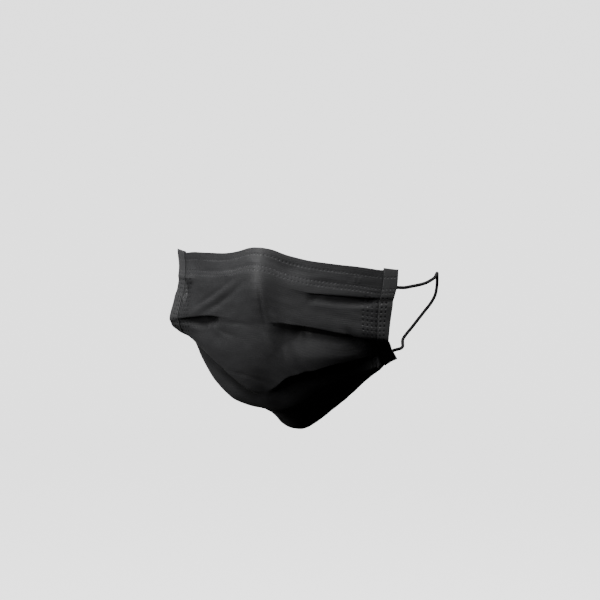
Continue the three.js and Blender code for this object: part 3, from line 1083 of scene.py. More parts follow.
@dataclass
class MaskBody:
    """The pleated cloth: three plies welded at their edges, with the top hem turned in over the strip."""

    nodes: tuple[str, ...] = ("mask_body", "hem_flap")
    half_width: float = 87.0  # it ends inside the side tapes
    column_step: float = 0.6
    thickness: float = 0.4
    hem_depth: float = 10.8
    hem_radius: float = HEM_RADIUS
    bottom_hem: float = 7.2
    open_radius: float = 0.5  # the turns of an open pleat
    pressed_radius: float = 0.21  # and those that the tapes press flat
    length: float = 161.0  # of the front, from edge to edge with its pleats pulled out
    unfold: float = 5.0  # a panel leaves the fold above it over this length
    opening: Pair = (0.2, 0.7)  # the turns grow between these shares of the half span
    shade_edge: Pair = (-0.3, 0.1)  # where the shade under a lip sets in
    weld_depth: float = 0.17
    inner_steps: tuple[int, int] = (20, 9)  # down the inside of the top hem and of the bottom hem
    edge_steps: int = 6  # round each of their edges
    fine_steps: int = 29  # of HEM_STEP, down the front of the hem
    panel_steps: tuple[int, int, int, int] = (4, 30, 34, 37)
    turn_steps: tuple[int, int] = (6, 5)
    bridge: tuple[float, int] = (0.4, 8)  # least length and steps of the run from a fold to its lip
    bottom_fine: tuple[float, int] = (7.8, 13)  # length and steps of the last stretch
    strip: NoseStrip = field(default_factory=NoseStrip)

    NEAR = 0.8  # how near a layer has to lie, along a column, to be wrapped there
    FAR = 9.0  # more than any layer's height
    LEAST_GAIN = 0.5  # keeps the tuck of a nearly open fold from growing without end

    def paths(self, columns: Columns) -> ColumnPaths:
        """The run of the cloth down some columns.

        Args:
            columns: the columns.

        Returns:
            The run, from the inside of the top hem to the inside of the bottom hem.
        """
        zero = np.zeros(len(columns.u))
        size = np.abs(columns.u)
        calm = 1 - ease(size, *CALM)
        r = self.hem_radius
        path = ColumnPaths(zero + self.hem_depth, zero - 2 * r)
        path.line(zero + r, self.inner_steps[0], lambda down: zero - 2 * r)
        self._edge(path, 1)
        path.line(zero + r + self.fine_steps * HEM_STEP, self.fine_steps, lambda down: zero)
        spare = np.maximum(self.length - columns.total, 0.0)
        leave: HeightRule = lambda down: zero
        growth = self.open_radius - self.pressed_radius
        radius = self.pressed_radius + growth * calm * ease(size, *self.opening)
        for pleat, steps in zip(PLEATS, self.panel_steps):
            angle = pleat.angle(columns.u)
            level = pleat.lip(columns)
            path.line(level - radius * np.sin(np.minimum(angle, math.pi / 2)), steps, leave)
            turned = 2 * radius * (angle - np.sin(angle))
            tuck = np.maximum(pleat.share * spare - turned, 0.0)
            tuck = tuck / np.maximum(1 - np.cos(angle), self.LEAST_GAIN)
            path.turns(angle, radius, tuck * (angle / math.pi) ** 3, self.turn_steps)
            landing = np.maximum(level, path.downs[-1] + self.bridge[0])
            path.line(landing, self.bridge[1], lambda down: path.outs[-1])
            leave = self._leaving(path, pleat.run(columns.u))
        path.line(columns.total - r - self.bottom_fine[0], self.panel_steps[-1], leave)
        path.line(columns.total - r, self.bottom_fine[1], lambda down: zero)
        self._edge(path, -1)
        path.line(columns.total - self.bottom_hem, self.inner_steps[1], lambda down: zero - 2 * r)
        path.outs = [out + self.drape(columns, down) for down, out in zip(path.downs, path.outs)]
        return path

    def _leaving(self, path: ColumnPaths, run: np.ndarray) -> HeightRule:
        """The rule by which a panel comes forward from under the fold that a path has come to."""
        start, folded = path.downs[-1], path.outs[-1]
        return lambda down: folded * (1 - ease(down - start - run, 0, self.unfold))

    def drape(self, columns: Columns, down: np.ndarray) -> np.ndarray:
        """How far the lips draw the cloth off the surface.

        Args:
            columns: the columns.
            down: distances down them, indexed by column, or by column and point.

        Returns:
            The heights, indexed likewise.
        """
        u = columns.u
        calm = 1 - ease(np.abs(u), *CALM)
        places = [pleat.lip(columns) for pleat in PLEATS]
        ends = [*places[1:], columns.total - self.bottom_fine[0]]
        return sum(
            DrapedLip(
                place, end - place, pleat.lift(u) * calm, pleat.reach(u), pleat.sink(u) * calm, pleat.run(u)
            ).height(down)
            for pleat, place, end in zip(PLEATS, places, ends)
        )

    def _edge(self, path: ColumnPaths, sign: int) -> None:
        """Turns round the top edge to the front, or round the bottom edge to the back.

        Args:
            path: the run so far, which gains the turn's points.
            sign: 1 at the top edge and -1 at the bottom one.
        """
        r = self.hem_radius
        down, out = path.downs[-1], path.outs[-1]
        for k in range(1, self.edge_steps + 1):
            a = math.pi * k / self.edge_steps
            path.to(down - sign * r * math.sin(a), out + sign * r * (1 - math.cos(a)))

    def build(self) -> bpy.types.Object:
        """Makes the cloth.

        Returns:
            The piece.
        """
        count = int(round(2 * self.half_width / self.column_step))
        columns = SURFACE.columns(np.linspace(-self.half_width, self.half_width, count + 1) / HALF_SPAN)
        path = self.paths(columns)
        down, out = path.down, path.out
        u = np.broadcast_to(columns.u[:, None], down.shape)
        x = u * HALF_SPAN
        crest = self.inner_steps[0] + self.edge_steps // 2
        outside = np.where(np.arange(down.shape[1]) < crest, -1.0, 1.0)
        swell = self.strip.swell(x, down) * outside
        middle, _ = columns.at(down, out + self.unevenness(u, down) + swell + self._stops(x, down, outside))
        normals = cloth_normals(middle)
        dents = pressed(x, down) * self.weld_depth
        front = middle + normals * (self.thickness / 2 - dents)[..., None]
        back = middle - normals * self.thickness / 2
        cloth = np.stack([x, np.where(outside < 0, -down, down)], axis=2)
        return MeshMaker.sheet("body_cloth", front, back, cloth, thin=2, tucked=self._painted_fold_shade(columns, down))

    def _painted_fold_shade(self, columns: Columns, down: np.ndarray) -> np.ndarray:
        """How much painted shade darkens the cloth's colour under each lip.

        Args:
            columns: the columns.
            down: distances down them, indexed by column and point.

        Returns:
            The part of the colour that the painted shade takes away, indexed likewise.
        """
        found = np.zeros_like(down)
        for pleat in PLEATS:
            below = down - pleat.lip(columns)[:, None]
            fade = pleat.shade_run(columns.u)[:, None] / 2
            shade = (1 - ease(below - fade, 0, fade)) * ease(below, *self.shade_edge)
            found = np.maximum(found, shade * pleat.shade(columns.u)[:, None])
        return found

    @staticmethod
    def _stops(x: np.ndarray, down: np.ndarray, outside: np.ndarray) -> np.ndarray:
        """Height of the short welds past the ends of the strip.

        Args:
            x: places across the cloth.
            down: places down it.
            outside: 1 where the cloth is in front, -1 where it is turned in.

        Returns:
            The height at each place.
        """
        height = np.zeros_like(x)
        within = (down > STOP_BARS.top) & (down < STOP_BARS.bottom)
        for place in STOP_BARS.across:
            bar = spot(np.abs(x) - place, np.zeros_like(x), STOP_BARS.half_width, 1.0)
            height = np.maximum(height, bar * STOP_BARS.rise)
        return np.where(within, height, 0.0) * outside

    @staticmethod
    def unevenness(u: np.ndarray, down: np.ndarray) -> np.ndarray:
        """Height of the soft folds and ripples.

        Args:
            u: places across the cloth, as shares of the half span.
            down: places down it.

        Returns:
            The height at each place.
        """
        folds = sum(relief.height(u, down) for relief in RELIEF)
        ripples = sum(ripple.height(u, down) for ripple in RIPPLES)
        return (folds + ripples) * (1 - ease(np.abs(u), *CALM))

    def wrap(self, columns: Columns, down: np.ndarray) -> tuple[np.ndarray, np.ndarray]:
        """How far the cloth's layers reach in front of the surface and behind it.

        Args:
            columns: columns beside the edges, where the pleats are pressed flat.
            down: wanted distances down, indexed by column and point.

        Returns:
            The heights of the layers' front and back, both 0 past the cloth's ends.
        """
        path = self.paths(columns)
        half = self.thickness / 2
        front, back = np.zeros_like(down), np.zeros_like(down)
        for i, (path_down, path_out) in enumerate(zip(path.down, path.out)):
            near = np.abs(path_down[None, :] - down[i][:, None]) < self.NEAR
            covered = near.any(axis=1)
            highest = np.where(near, path_out[None, :], -self.FAR).max(axis=1)
            lowest = np.where(near, path_out[None, :], self.FAR).min(axis=1)
            front[i] = np.where(covered, highest + half, 0.0)
            back[i] = np.where(covered, lowest - half, 0.0)
        return front, back


@dataclass
class SideTape:
    """The tape folded over one side edge, welded through in a grid of spots."""

    side: Side
    width: float = 9.5
    wall: float = 0.28
    proud_inner: float = 1.6  # its top stands above the cloth by this at its inner edge
    proud_outer: float = 0.5  # and by this at the side edge
    proud_bottom: float = 0.8
    slack: float = 0.04
    step: float = 0.42
    fold_steps: int = 8
    fold_reach: float = 0.5  # the most by which the fold stands past the side edge
    smooth_rounds: int = 6
    weld_depth: float = 0.16

    @property
    def fold_angles(self) -> np.ndarray:
        """The angles of the points round the fold, without its two ends."""
        return math.pi * np.arange(1, self.fold_steps) / self.fold_steps

    def build(self, body: MaskBody) -> bpy.types.Object:
        """Makes the tape.

        Args:
            body: the cloth, whose layers it is folded round.

        Returns:
            The piece.
        """
        edge = SURFACE.columns(np.array([self.side.value * 1.0]))
        length = float(edge.total[0]) + self.proud_inner + self.proud_bottom
        rows = int(round(length / self.step / 2)) * 2
        across = int(round(self.width / self.step))
        sizes = HALF_SPAN - self.width + self.width * np.arange(across + 1) / across
        columns = SURFACE.columns(self.side.value * sizes / HALF_SPAN)
        shares = np.arange(rows + 1) / rows
        proud = self.proud_inner + (self.proud_outer - self.proud_inner) * np.arange(across + 1) / across
        down = (columns.total + proud + self.proud_bottom)[:, None] * shares - proud[:, None]
        front, back = body.wrap(columns, down)
        front = self._smooth(front) + self.slack + self.wall / 2
        back = self._smooth(back) - self.slack - self.wall / 2
        fold = self._fold(front[-1], back[-1])
        outs = np.concatenate([front, fold, back[::-1]])
        downs = np.concatenate([down, np.repeat(down[-1:], len(fold), axis=0), down[::-1]])
        sizes_round = np.concatenate([sizes, np.full(len(fold), HALF_SPAN), sizes[::-1]])
        places, _ = SURFACE.columns(self.side.value * sizes_round / HALF_SPAN).at(downs, outs)
        places += self._past_edge(edge, front[-1], back[-1], down[-1], len(sizes))
        x = np.broadcast_to((self.side.value * sizes_round)[:, None], downs.shape)
        outward = cloth_normals(places) * self.side.value
        dents = pressed(x, downs) * self.weld_depth
        outer = places + outward * (self.wall / 2 - dents)[..., None]
        inner = places - outward * self.wall / 2
        return MeshMaker.sheet(f"tape_{self.side.word}", outer, inner, np.stack([x, downs], axis=2))

    def _smooth(self, values: np.ndarray) -> np.ndarray:
        """Softens steps along each column.

        Args:
            values: heights, indexed by column and point.

        Returns:
            The softened heights.
        """
        for _ in range(self.smooth_rounds):
            padded = np.pad(values, ((0, 0), (1, 1)), mode="edge")
            values = (padded[:, :-2] + 2 * padded[:, 1:-1] + padded[:, 2:]) / 4
        return values

    def _fold(self, front: np.ndarray, back: np.ndarray) -> np.ndarray:
        """Heights round the fold, from the front to the back."""
        return (front + back) / 2 + np.cos(self.fold_angles)[:, None] * (front - back) / 2

    def _past_edge(
        self, edge: Columns, front: np.ndarray, back: np.ndarray, down: np.ndarray, before: int
    ) -> np.ndarray:
        """Steps out past the side edge, for the points round the fold.

        Args:
            edge: the column at the side edge.
            front: heights of the tape's front there.
            back: heights of its back there.
            down: distances down the edge.
            before: the number of columns before the fold, and after it.

        Returns:
            The steps, indexed by column and point.
        """
        nudge = SURFACE.columns(np.array([self.side.value * (1 - 1 / HALF_SPAN)]))
        here, _ = edge.at(down[None], np.zeros((1, len(down))))
        inside, _ = nudge.at(down[None], np.zeros((1, len(down))))
        outward = unit(here[0] - inside[0])
        reach = np.minimum((front - back) / 2, self.fold_reach)
        steps = np.zeros((2 * before + len(self.fold_angles), len(down), 3))
        steps[before:-before] = np.sin(self.fold_angles)[:, None, None] * reach[None, :, None] * outward
        return steps


# ---------------------------------------------------------------------------------------------
# Ear loops


def smooth_route(points: np.ndarray, step: float) -> np.ndarray:
    """Evenly spaced points on a centripetal curve through a route's points.

    Args:
        points: the route.
        step: the wanted spacing.

    Returns:
        The points, both ends among them.
    """
    fine_steps = 60  # between two of the route's points
    p = np.concatenate([[2 * points[0] - points[1]], points, [2 * points[-1] - points[-2]]])
    gaps = np.linalg.norm(np.diff(p, axis=0), axis=1) ** 0.5
    t = np.linspace(0, 1, fine_steps, endpoint=False)[:, None]
    pieces = []
    for k in range(1, len(p) - 2):
        a, b, c = gaps[k - 1], gaps[k], gaps[k + 1]
        leave = ((p[k] - p[k - 1]) / a - (p[k + 1] - p[k - 1]) / (a + b) + (p[k + 1] - p[k]) / b) * b
        arrive = ((p[k + 1] - p[k]) / b - (p[k + 2] - p[k]) / (b + c) + (p[k + 2] - p[k + 1]) / c) * b
        pieces.append(bridge(p[k], leave, p[k + 1], arrive, t))
    fine = np.concatenate([*pieces, points[-1:]])
    lengths = running_length(fine)
    even = np.linspace(0, lengths[-1], int(round(lengths[-1] / step)) + 1)
    return np.stack([np.interp(even, lengths, fine[:, axis]) for axis in range(3)], axis=1)


# The way round the ear, in the rows' own frame, x measured outwards
LOOP_TURN: tuple[tuple[float, float, float], ...] = (
    (75.5, 47, -29),
    (75, 62, -30.6),
    (73.4, 80, -32.6),
    (71.4, 96, -34.1),
    (68.3, 115, -35.2),
    (65.9, 127, -35.6),
    (62.7, 138, -35.6),
    (60, 146.5, -36.6),
    (58, 152, -40),
    (57, 154.5, -45.5),
    (57, 152, -51.5),
    (57, 145, -55.8),
    (57, 130, -60.5),
    (57, 110, -66.5),
    (57.4, 92, -71.6),
    (61.8, 79, -74.4),
)


@dataclass
class EarLoop:
    """One round elastic cord, its ends flattened and welded behind the side tape."""

    side: Side
    diameter: float = 1.8
    upper: float = 11.0  # the upper end, below the top edge
    lower: float = 9.5  # the lower end, above the bottom edge
    weld: float = 8.6  # how much of each end lies behind the tape
    flat: float = 0.6  # thickness left at a welded end, as a share
    flat_gain: float = 0.8  # share of the lost thickness that an end gains in width
    flat_fade: Pair = (-1.0, 2.5)  # where an end turns round again, from the tape's edge
    clear: float = 0.72  # from the tape's back to the cord's middle
    sides: int = 24
    step: float = 0.5
    wales: int = 8
    stitch: float = 0.9
    relief: float = 0.08
    bulk: float = 0.22  # how far the knit stands out over the core

    def build(self, body: MaskBody, tape: SideTape) -> bpy.types.Object:
        """Makes the cord.

        Args:
            body: the cloth.
            tape: the side tape that holds the cord's ends.

        Returns:
            The piece.
        """
        route = smooth_route(self._route(body, tape), self.step)
        piece = self._tube(route)
        return piece

    def _route(self, body: MaskBody, tape: SideTape) -> np.ndarray:
        """The points that the cord runs through.

        Args:
            body: the cloth.
            tape: the side tape that holds the cord's ends.

        Returns:
            The points, from the upper end to the lower one.
        """
        sizes = np.array((1 - self.weld / HALF_SPAN, 1.0))
        columns = SURFACE.columns(self.side.value * sizes)
        down = np.stack([np.full(2, self.upper), columns.total - self.lower], axis=1)
        _, back = body.wrap(columns, down)
        ends, _ = columns.at(down, back - tape.slack - tape.wall - self.clear)
        turn = np.array(LOOP_TURN) * (self.side.value, 1, 1) + FRAME_SHIFT
        return np.concatenate([ends[:, 0], turn, ends[::-1, 1]])

    def _tube(self, route: np.ndarray) -> bpy.types.Object:
        """A round tube with the knit's relief and flat ends.

        Args:
            route: the points of its middle.

        Returns:
            The piece.
        """
        ahead = unit(np.gradient(route, axis=0))
        edge = SURFACE.columns(np.array([float(self.side.value)]))
        _, surface = edge.at(np.full((1, 1), self.upper), np.zeros((1, 1)))
        across = [surface[0, 0]]
        for heading in ahead:
            across.append(unit(across[-1] - heading * np.dot(across[-1], heading)))
        normal = np.array(across[1:])
        binormal = np.cross(ahead, normal)
        along = np.arange(len(route)) * self.step
        from_end = np.minimum(along, along[-1] - along)
        pressed_flat = 1 - ease(from_end, self.weld + self.flat_fade[0], self.weld + self.flat_fade[1])
        angles = 2 * math.pi * np.arange(self.sides) / self.sides
        knit = np.sin(angles[None, :] * self.wales / 2) ** 2
        knit = knit * np.sin(math.pi * along / self.stitch)[:, None] ** 2 * (1 - pressed_flat)[:, None]
        radius = self.diameter / 2 + self.bulk - self.relief * (1 - knit)
        thick = radius * (1 - (1 - self.flat) * pressed_flat)[:, None]
        wide = radius * (1 + (1 - self.flat) * self.flat_gain * pressed_flat)[:, None]
        points = (
            route[:, None]
            + normal[:, None] * (np.cos(angles) * thick)[..., None]
            + binormal[:, None] * (np.sin(angles) * wide)[..., None]
        )
        return MeshMaker.tube(f"loop_{self.side.word}", points, angles * self.diameter / 2, along)


# ---------------------------------------------------------------------------------------------
# Shading


class Out:
    """A node's output. Sums and products of outputs add the nodes that work them out."""

    def __init__(self, graph: Graph, socket: bpy.types.NodeSocket) -> None:
        """Wraps a socket of a graph."""
        self.graph = graph
        self.socket = socket

    @property
    def is_vector(self) -> bool:
        """Whether it carries three numbers."""
        return self.socket.type in {"VECTOR", "RGBA"}

    def _maths(self, operation: str, *values: Value) -> Out:
        """Works something out with a Math or Vector Math node.

        Args:
            operation: the node's operation.
            values: what goes in, in order.

        Returns:
            The node's output.
        """
        vector = any(isinstance(value, Out) and value.is_vector for value in values)
        kind = "ShaderNodeVectorMath" if vector else "ShaderNodeMath"
        if vector:
            values = tuple((value,) * 3 if isinstance(value, (int, float)) else value for value in values)
        return self.graph.node(kind, {"operation": operation}, dict(enumerate(values)))

    def __add__(self, other: Value) -> Out:
        """Sum."""
        return self._maths("ADD", self, other)

    def __radd__(self, other: Value) -> Out:
        """Sum."""
        return self._maths("ADD", other, self)

    def __sub__(self, other: Value) -> Out:
        """Difference."""
        return self._maths("SUBTRACT", self, other)

    def __rsub__(self, other: Value) -> Out:
        """Difference."""
        return self._maths("SUBTRACT", other, self)

    def __mul__(self, other: Value) -> Out:
        """Product."""
        return self._maths("MULTIPLY", self, other)

    def __rmul__(self, other: Value) -> Out:
        """Product."""
        return self._maths("MULTIPLY", other, self)

    def __truediv__(self, other: Value) -> Out:
        """Quotient."""
        return self._maths("DIVIDE", self, other)

    def __rtruediv__(self, other: Value) -> Out:
        """Quotient."""
        return self._maths("DIVIDE", other, self)

    def __neg__(self) -> Out:
        """The opposite."""
        return self._maths("MULTIPLY", self, -1.0)

    def __abs__(self) -> Out:
        """Size without sign."""
        return self._maths("ABSOLUTE", self)

    def __pow__(self, power: float) -> Out:
        """Power."""
        return self._maths("POWER", self, power)

    def sine(self) -> Out:
        """Sine of an angle in radians."""
        return self._maths("SINE", self)

    def rounded(self) -> Out:
        """The nearest whole number."""
        return self._maths("ROUND", self)

    def larger(self, other: Value) -> Out:
        """The larger of two."""
        return self._maths("MAXIMUM", self, other)

    def over(self, limit: float) -> Out:
        """1 above a limit, 0 below it."""
        return self._maths("GREATER_THAN", self, limit)

    def ramp(self, start: float, end: float) -> Out:
        """Smooth step from 0 at start to 1 at end."""
        inputs = {"Value": self, "From Min": start, "From Max": end}
        return self.graph.node("ShaderNodeMapRange", {"interpolation_type": "SMOOTHSTEP"}, inputs)

    def mix(self, first: Value, second: Value) -> Out:
        """Blends two numbers or two colours.

        Args:
            first: what comes out at 0.
            second: what comes out at 1.

        Returns:
            The blend.
        """
        colours = [v for v in (first, second) if isinstance(v, tuple) or isinstance(v, Out) and v.is_vector]
        if not colours:
            return self.graph.node("ShaderNodeMix", {"data_type": "FLOAT"}, {0: self, 2: first, 3: second})
        return self.graph.node("ShaderNodeMix", {"data_type": "RGBA"}, {0: self, 6: first, 7: second}, 2)


Value = Out | float | tuple[float, ...]
Settings = dict[str, object]
Inputs = dict[str | int, Value]


class Graph:
    """The nodes of one material, or of the world."""

    def __init__(self, owner: bpy.types.Material | bpy.types.World) -> None:
        """Empties the nodes of a material or a world.

        Args:
            owner: the material or the world.
        """
        owner.use_nodes = True
        self.owner = owner
        self.nodes = owner.node_tree.nodes
        self.links = owner.node_tree.links
        self.nodes.clear()

    @classmethod
    def material(cls, name: str) -> Graph:
        """The empty graph of a new material."""
        return cls(bpy.data.materials.new(name))

    def add(self, kind: str, settings: Settings, inputs: Inputs) -> bpy.types.Node:
        """Adds a node.

        Args:
            kind: the node's type.
            settings: its properties, which are set first.
            inputs: values or outputs for its sockets, by name or number.

        Returns:
            The node.
        """
        added = self.nodes.new(kind)
        for name, value in settings.items():
            setattr(added, name, value)
        for key, value in inputs.items():
            socket = added.inputs[key]
            if isinstance(value, Out):
                self.links.new(value.socket, socket)
            elif isinstance(value, tuple) and socket.type == "RGBA" and len(value) == 3:
                socket.default_value = (*value, 1.0)
            else:
                socket.default_value = value
        return added

    def node(
        self, kind: str, settings: Settings | None = None, inputs: Inputs | None = None, output: int = 0
    ) -> Out:
        """Adds a node and gives one of its outputs."""
        return Out(self, self.add(kind, settings or {}, inputs or {}).outputs[output])

    def axes(self, vector: Out) -> tuple[Out, Out, Out]:
        """The three numbers of a vector."""
        x, y, z = self.add("ShaderNodeSeparateXYZ", {}, {0: vector}).outputs
        return Out(self, x), Out(self, y), Out(self, z)

    def vector(self, x: Value, y: Value, z: Value = 0.0) -> Out:
        """A vector of three numbers."""
        return self.node("ShaderNodeCombineXYZ", {}, {0: x, 1: y, 2: z})

    def noise(self, place: Out, scale: float, detail: float = 2.0, roughness: float = 0.5) -> Out:
        """Smooth noise, from 0 to 1."""
        inputs = {"Vector": place, "Scale": scale, "Detail": detail, "Roughness": roughness}
        return self.node("ShaderNodeTexNoise", {"noise_dimensions": "3D"}, inputs)

    def drawn(self, x: Out, y: Out, scales: Pair, detail: float = 2.0, roughness: float = 0.5) -> Out:
        """Smooth noise with a scale of its own across and down, from 0 to 1."""
        return self.noise(self.vector(x * scales[0], y * scales[1]), 1.0, detail, roughness)

    def cloth_place(self) -> tuple[Out, Out]:
        """Where a point lies on the flat cloth, in millimetres across and down."""
        x, y, _ = self.axes(self.node("ShaderNodeUVMap", {"uv_map": MeshMaker.CLOTH_MAP}))
        return x, y

    def bump(self, height: Out, distance: float, strength: float = 1.0) -> Out:
        """Normals from a height, in units of distance in metres."""
        inputs = {"Height": height, "Distance": distance, "Strength": strength}
        return self.node("ShaderNodeBump", {}, inputs)

    def dress(self, mesh: bpy.types.Mesh, inputs: Inputs) -> None:
        """Finishes the material with one Principled shader, and puts it on a mesh.

        Args:
            mesh: the mesh.
            inputs: values or outputs for the shader's sockets.
        """
        shader = self.node("ShaderNodeBsdfPrincipled", {}, inputs)
        self.add("ShaderNodeOutputMaterial", {}, {"Surface": shader})
        mesh.materials.append(self.owner)


@dataclass(frozen=True)
class WeldPattern:
    """The shader's copy of the pressed spots, which keeps them crisp."""

    softness: float = 0.5

    def _dots(self, x: Out, y: Out, width: float, height: float) -> Out:
        """One dot's mask, for offsets from its middle."""
        return 1.0 - ((x / width) ** 2.0 + (y / height) ** 2.0).ramp(1.0 - self.softness, 1.0 + self.softness)

    @staticmethod
    def _nearest(value: Out, pitch: float) -> Out:
        """Offset from the nearest multiple of a pitch."""
        return value - (value / pitch).rounded() * pitch

    def rows(self, x: Out, y: Out) -> Out:
        """The rows along the hem.

        Args:
            x: places across the cloth.
            y: places down it.

        Returns:
            1 on a spot and 0 off them.
        """
        mask = None
        for row in HEM_WELDS:
            dots = self._dots(self._nearest(x, row.pitch), y - row.down, row.half_width, row.half_height)
            mask = dots if mask is None else mask.larger(dots)
        return mask

    def grid(self, x: Out, y: Out) -> Out:
        """The grid down both sides.

        Args:
            x: places across the cloth.
            y: places down it.

        Returns:
            1 on a spot and 0 off them.
        """
        grid = SIDE_WELDS
        size = abs(x)
        offset = self._nearest(size - grid.first, grid.pitch)
        dots = self._dots(offset, self._nearest(y, grid.row_pitch), grid.half_size, grid.half_size)
        beside = size.over(grid.first - grid.pitch / 2) * (1.0 - size.over(grid.last + grid.pitch / 2))
        return dots * beside * y.over(grid.top)


@dataclass(frozen=True)
class Nonwoven:
    """Fine black spunbond cloth: level ribs, drawn-out fibres and glossy pressed spots, with painted shade
    under the pleats' lips and in the side spots' pits, and a painted highlight on the hem's spots.
    """

    name: str
    colour: Colour
    # the pressed spots' colour: darker partly from the pressed film itself and partly as painted shade in
    # their pits
    pressed_and_pit_shade_colour: Colour
    roughness: float = 0.56
    specular: float = 0.22
    sheen: float = 0.05
    sheen_roughness: float = 0.4
    pressed_gloss: float = 0.2  # by how much the pressed spots are smoother
    rib_pitch: float = 1.27
    rib_wander: float = 0.9  # how far the ribs wander
    rib_patches: Pair = (0.25, 0.75)  # they show where the noise lies between these
    rib_height: float = 0.055
    fibre_height: float = 0.05
    grain_height: float = 0.03
    weld_height: float = 0.12
    wander_scales: Pair = (0.09, 0.3)  # these are per millimetre across and down
    patch_scales: Pair = (0.16, 0.8)
    fibre_scales: Pair = (0.45, 2.1)
    grain_scale: float = 1.9
    cloud_scale: float = 0.11
    cloud_tone: float = 0.44
    grain_tone: float = 0.5
    fibre_tone: float = 0.35
    hem_fade: Pair = (13.5, 18.0)  # the hem ends between these distances down
    hem_gain: float = 0.25  # the hem's welded layers look lighter
    # the hem's pressed spots are lighter, partly the pressed film's own colour and partly a painted highlight
    hem_spot_gain_and_highlight: float = 0.22  # and its pressed spots lighter still

    def apply(self, piece: bpy.types.Object) -> None:
        """Paints a piece.

        Args:
            piece: the piece, with its places on the flat cloth.
        """
        graph = Graph.material(self.name)
        x, y = graph.cloth_place()
        y = abs(y)
        place = graph.vector(x, y)
        wander = graph.drawn(x, y, self.wander_scales) - 0.5
        ribs = ((y + wander * self.rib_wander) * (2 * math.pi / self.rib_pitch)).sine() * 0.5
        ribs = ribs * graph.drawn(x, y, self.patch_scales).ramp(*self.rib_patches)
        fibres = graph.drawn(x, y, self.fibre_scales, 3.0, 0.6) - 0.5
        grain = graph.noise(place, self.grain_scale, 2.0, 0.6) - 0.5
        clouds = graph.noise(place, self.cloud_scale, 3.0, 0.6) - 0.5
        pattern = WeldPattern()
        rows, grid = pattern.rows(x, y), pattern.grid(x, y)
        welds = rows.larger(grid)
        height = ribs * self.rib_height + fibres * self.fibre_height + grain * self.grain_height
        height = height * (1.0 - welds) - welds * self.weld_height
        tone = 1.0 + clouds * self.cloud_tone + grain * self.grain_tone + fibres * self.fibre_tone
        hem = 1.0 - y.ramp(*self.hem_fade)
        # the hem's pressed spots are lightened: partly their own colour, partly a painted highlight
        tone = tone * (1.0 + hem * self.hem_gain) * (1.0 + rows * self.hem_spot_gain_and_highlight)
        # painted shade under the pleats' lips, read from the mesh, darkens the colour
        shade = graph.node("ShaderNodeAttribute", {"attribute_name": MeshMaker.TUCKED}, output=2)
        tone = tone * (1.0 - shade)
        # the side grid's spots take the darker colour, partly their own and partly painted shade in the pits
        colour = grid.mix(self.colour, self.pressed_and_pit_shade_colour) * graph.vector(tone, tone, tone)
        graph.dress(
            piece.data,
            {
                "Base Color": colour,
                "Roughness": welds.mix(self.roughness, self.roughness - self.pressed_gloss),
                "Specular IOR Level": self.specular,
                "Sheen Weight": self.sheen,
                "Sheen Roughness": self.sheen_roughness,
                "Normal": graph.bump(height, MM),
            },
        )


@dataclass(frozen=True)
class KnitCord:
    """Knitted elastic: small stitches in wales along the cord."""

    name: str = "black_elastic"
    colour: Colour = (0.004, 0.004, 0.0045)
    roughness: float = 0.75
    specular: float = 0.06
    height: float = 0.12
    stitch_lean: float = 0.22
    fuzz_scale: float = 3.2
    fuzz_stretch: float = 0.6  # along the cord
    relief_parts: tuple[float, float, float] = (0.6, 0.3, 0.5)  # of the ridges, the stitches and the fuzz
    tone_parts: tuple[float, float, float] = (0.75, 0.3, 0.4)  # of the ground, the ridges and the fuzz

    def apply(self, piece: bpy.types.Object, loop: EarLoop) -> None:
        """Paints a cord.

        Args:
            piece: the cord.
            loop: its sizes, which place the stitches.
        """
        graph = Graph.material(self.name)
        across, along = graph.cloth_place()
        wale = math.pi * loop.diameter / loop.wales
        lean = (across * (2 * math.pi / wale)).sine() * self.stitch_lean
        rows = ((along + lean) * (2 * math.pi / loop.stitch)).sine()
        ridges = abs((across * (math.pi / wale)).sine())
        place = graph.vector(across, along * self.fuzz_stretch)
        fuzz = graph.noise(place, self.fuzz_scale, 2.0, 0.6) - 0.5
        relief, tones = self.relief_parts, self.tone_parts
        height = ridges * relief[0] + rows * relief[1] + fuzz * relief[2]
        tone = tones[0] + ridges * tones[1] + fuzz * tones[2]
        graph.dress(
            piece.data,
            {
                "Base Color": graph.vector(*[tone * part for part in self.colour]),
                "Roughness": self.roughness,
                "Specular IOR Level": self.specular,
                "Normal": graph.bump(height * self.height, MM),
            },
        )


@dataclass(frozen=True)
class CoatedStrip:
    """Satin white plastic."""

    name: str = "white_coating"
    colour: Colour = (0.72, 0.73, 0.75)
    roughness: float = 0.42
    scales: Pair = (0.08, 3.0)  # of its drawn unevenness, per millimetre across and down
    gloss_change: float = 0.2
    height: float = 0.03

    def apply(self, piece: bpy.types.Object) -> None:
        """Paints a piece.

        Args:
            piece: the piece, with its places on the flat cloth.
        """
        graph = Graph.material(self.name)
        x, y = graph.cloth_place()
        drawn = graph.drawn(x, y, self.scales) - 0.5
        graph.dress(
            piece.data,
            {
                "Base Color": self.colour,
                "Roughness": drawn * self.gloss_change + self.roughness,
                "Normal": graph.bump(drawn * self.height, MM),
            },
        )


# ---------------------------------------------------------------------------------------------
# Studio


@dataclass(frozen=True)
class SoftBox:
    """One large soft light, aimed at the mask's middle.

    azimuth and elevation say where it stands, as for a camera.
    """

    name: str
    azimuth: float
    elevation: float
    watts: float
    distance: float = 1.6
    size: float = 0.7

    def build(self, aim: Vector) -> None:
        """Adds the light.

        Args:
            aim: the mask's middle.
        """
        light = bpy.data.lights.new(self.name, "AREA")
        light.shape = "SQUARE"
        light.size = self.size
        light.energy = self.watts
        lamp = bpy.data.objects.new(self.name, light)
        towards = direction(self.azimuth, self.elevation)
        lamp.location = aim - towards * self.distance
        lamp.rotation_euler = towards.to_track_quat("-Z", "Y").to_euler()
        bpy.context.scene.collection.objects.link(lamp)


def direction(azimuth: float, elevation: float) -> Vector:
    """Which way something looks that stands at an azimuth and elevation in degrees, facing the mask."""
    around, above = math.radians(azimuth), math.radians(elevation)
    return Vector((-math.sin(around) * math.cos(above), math.cos(around) * math.cos(above), -math.sin(above)))


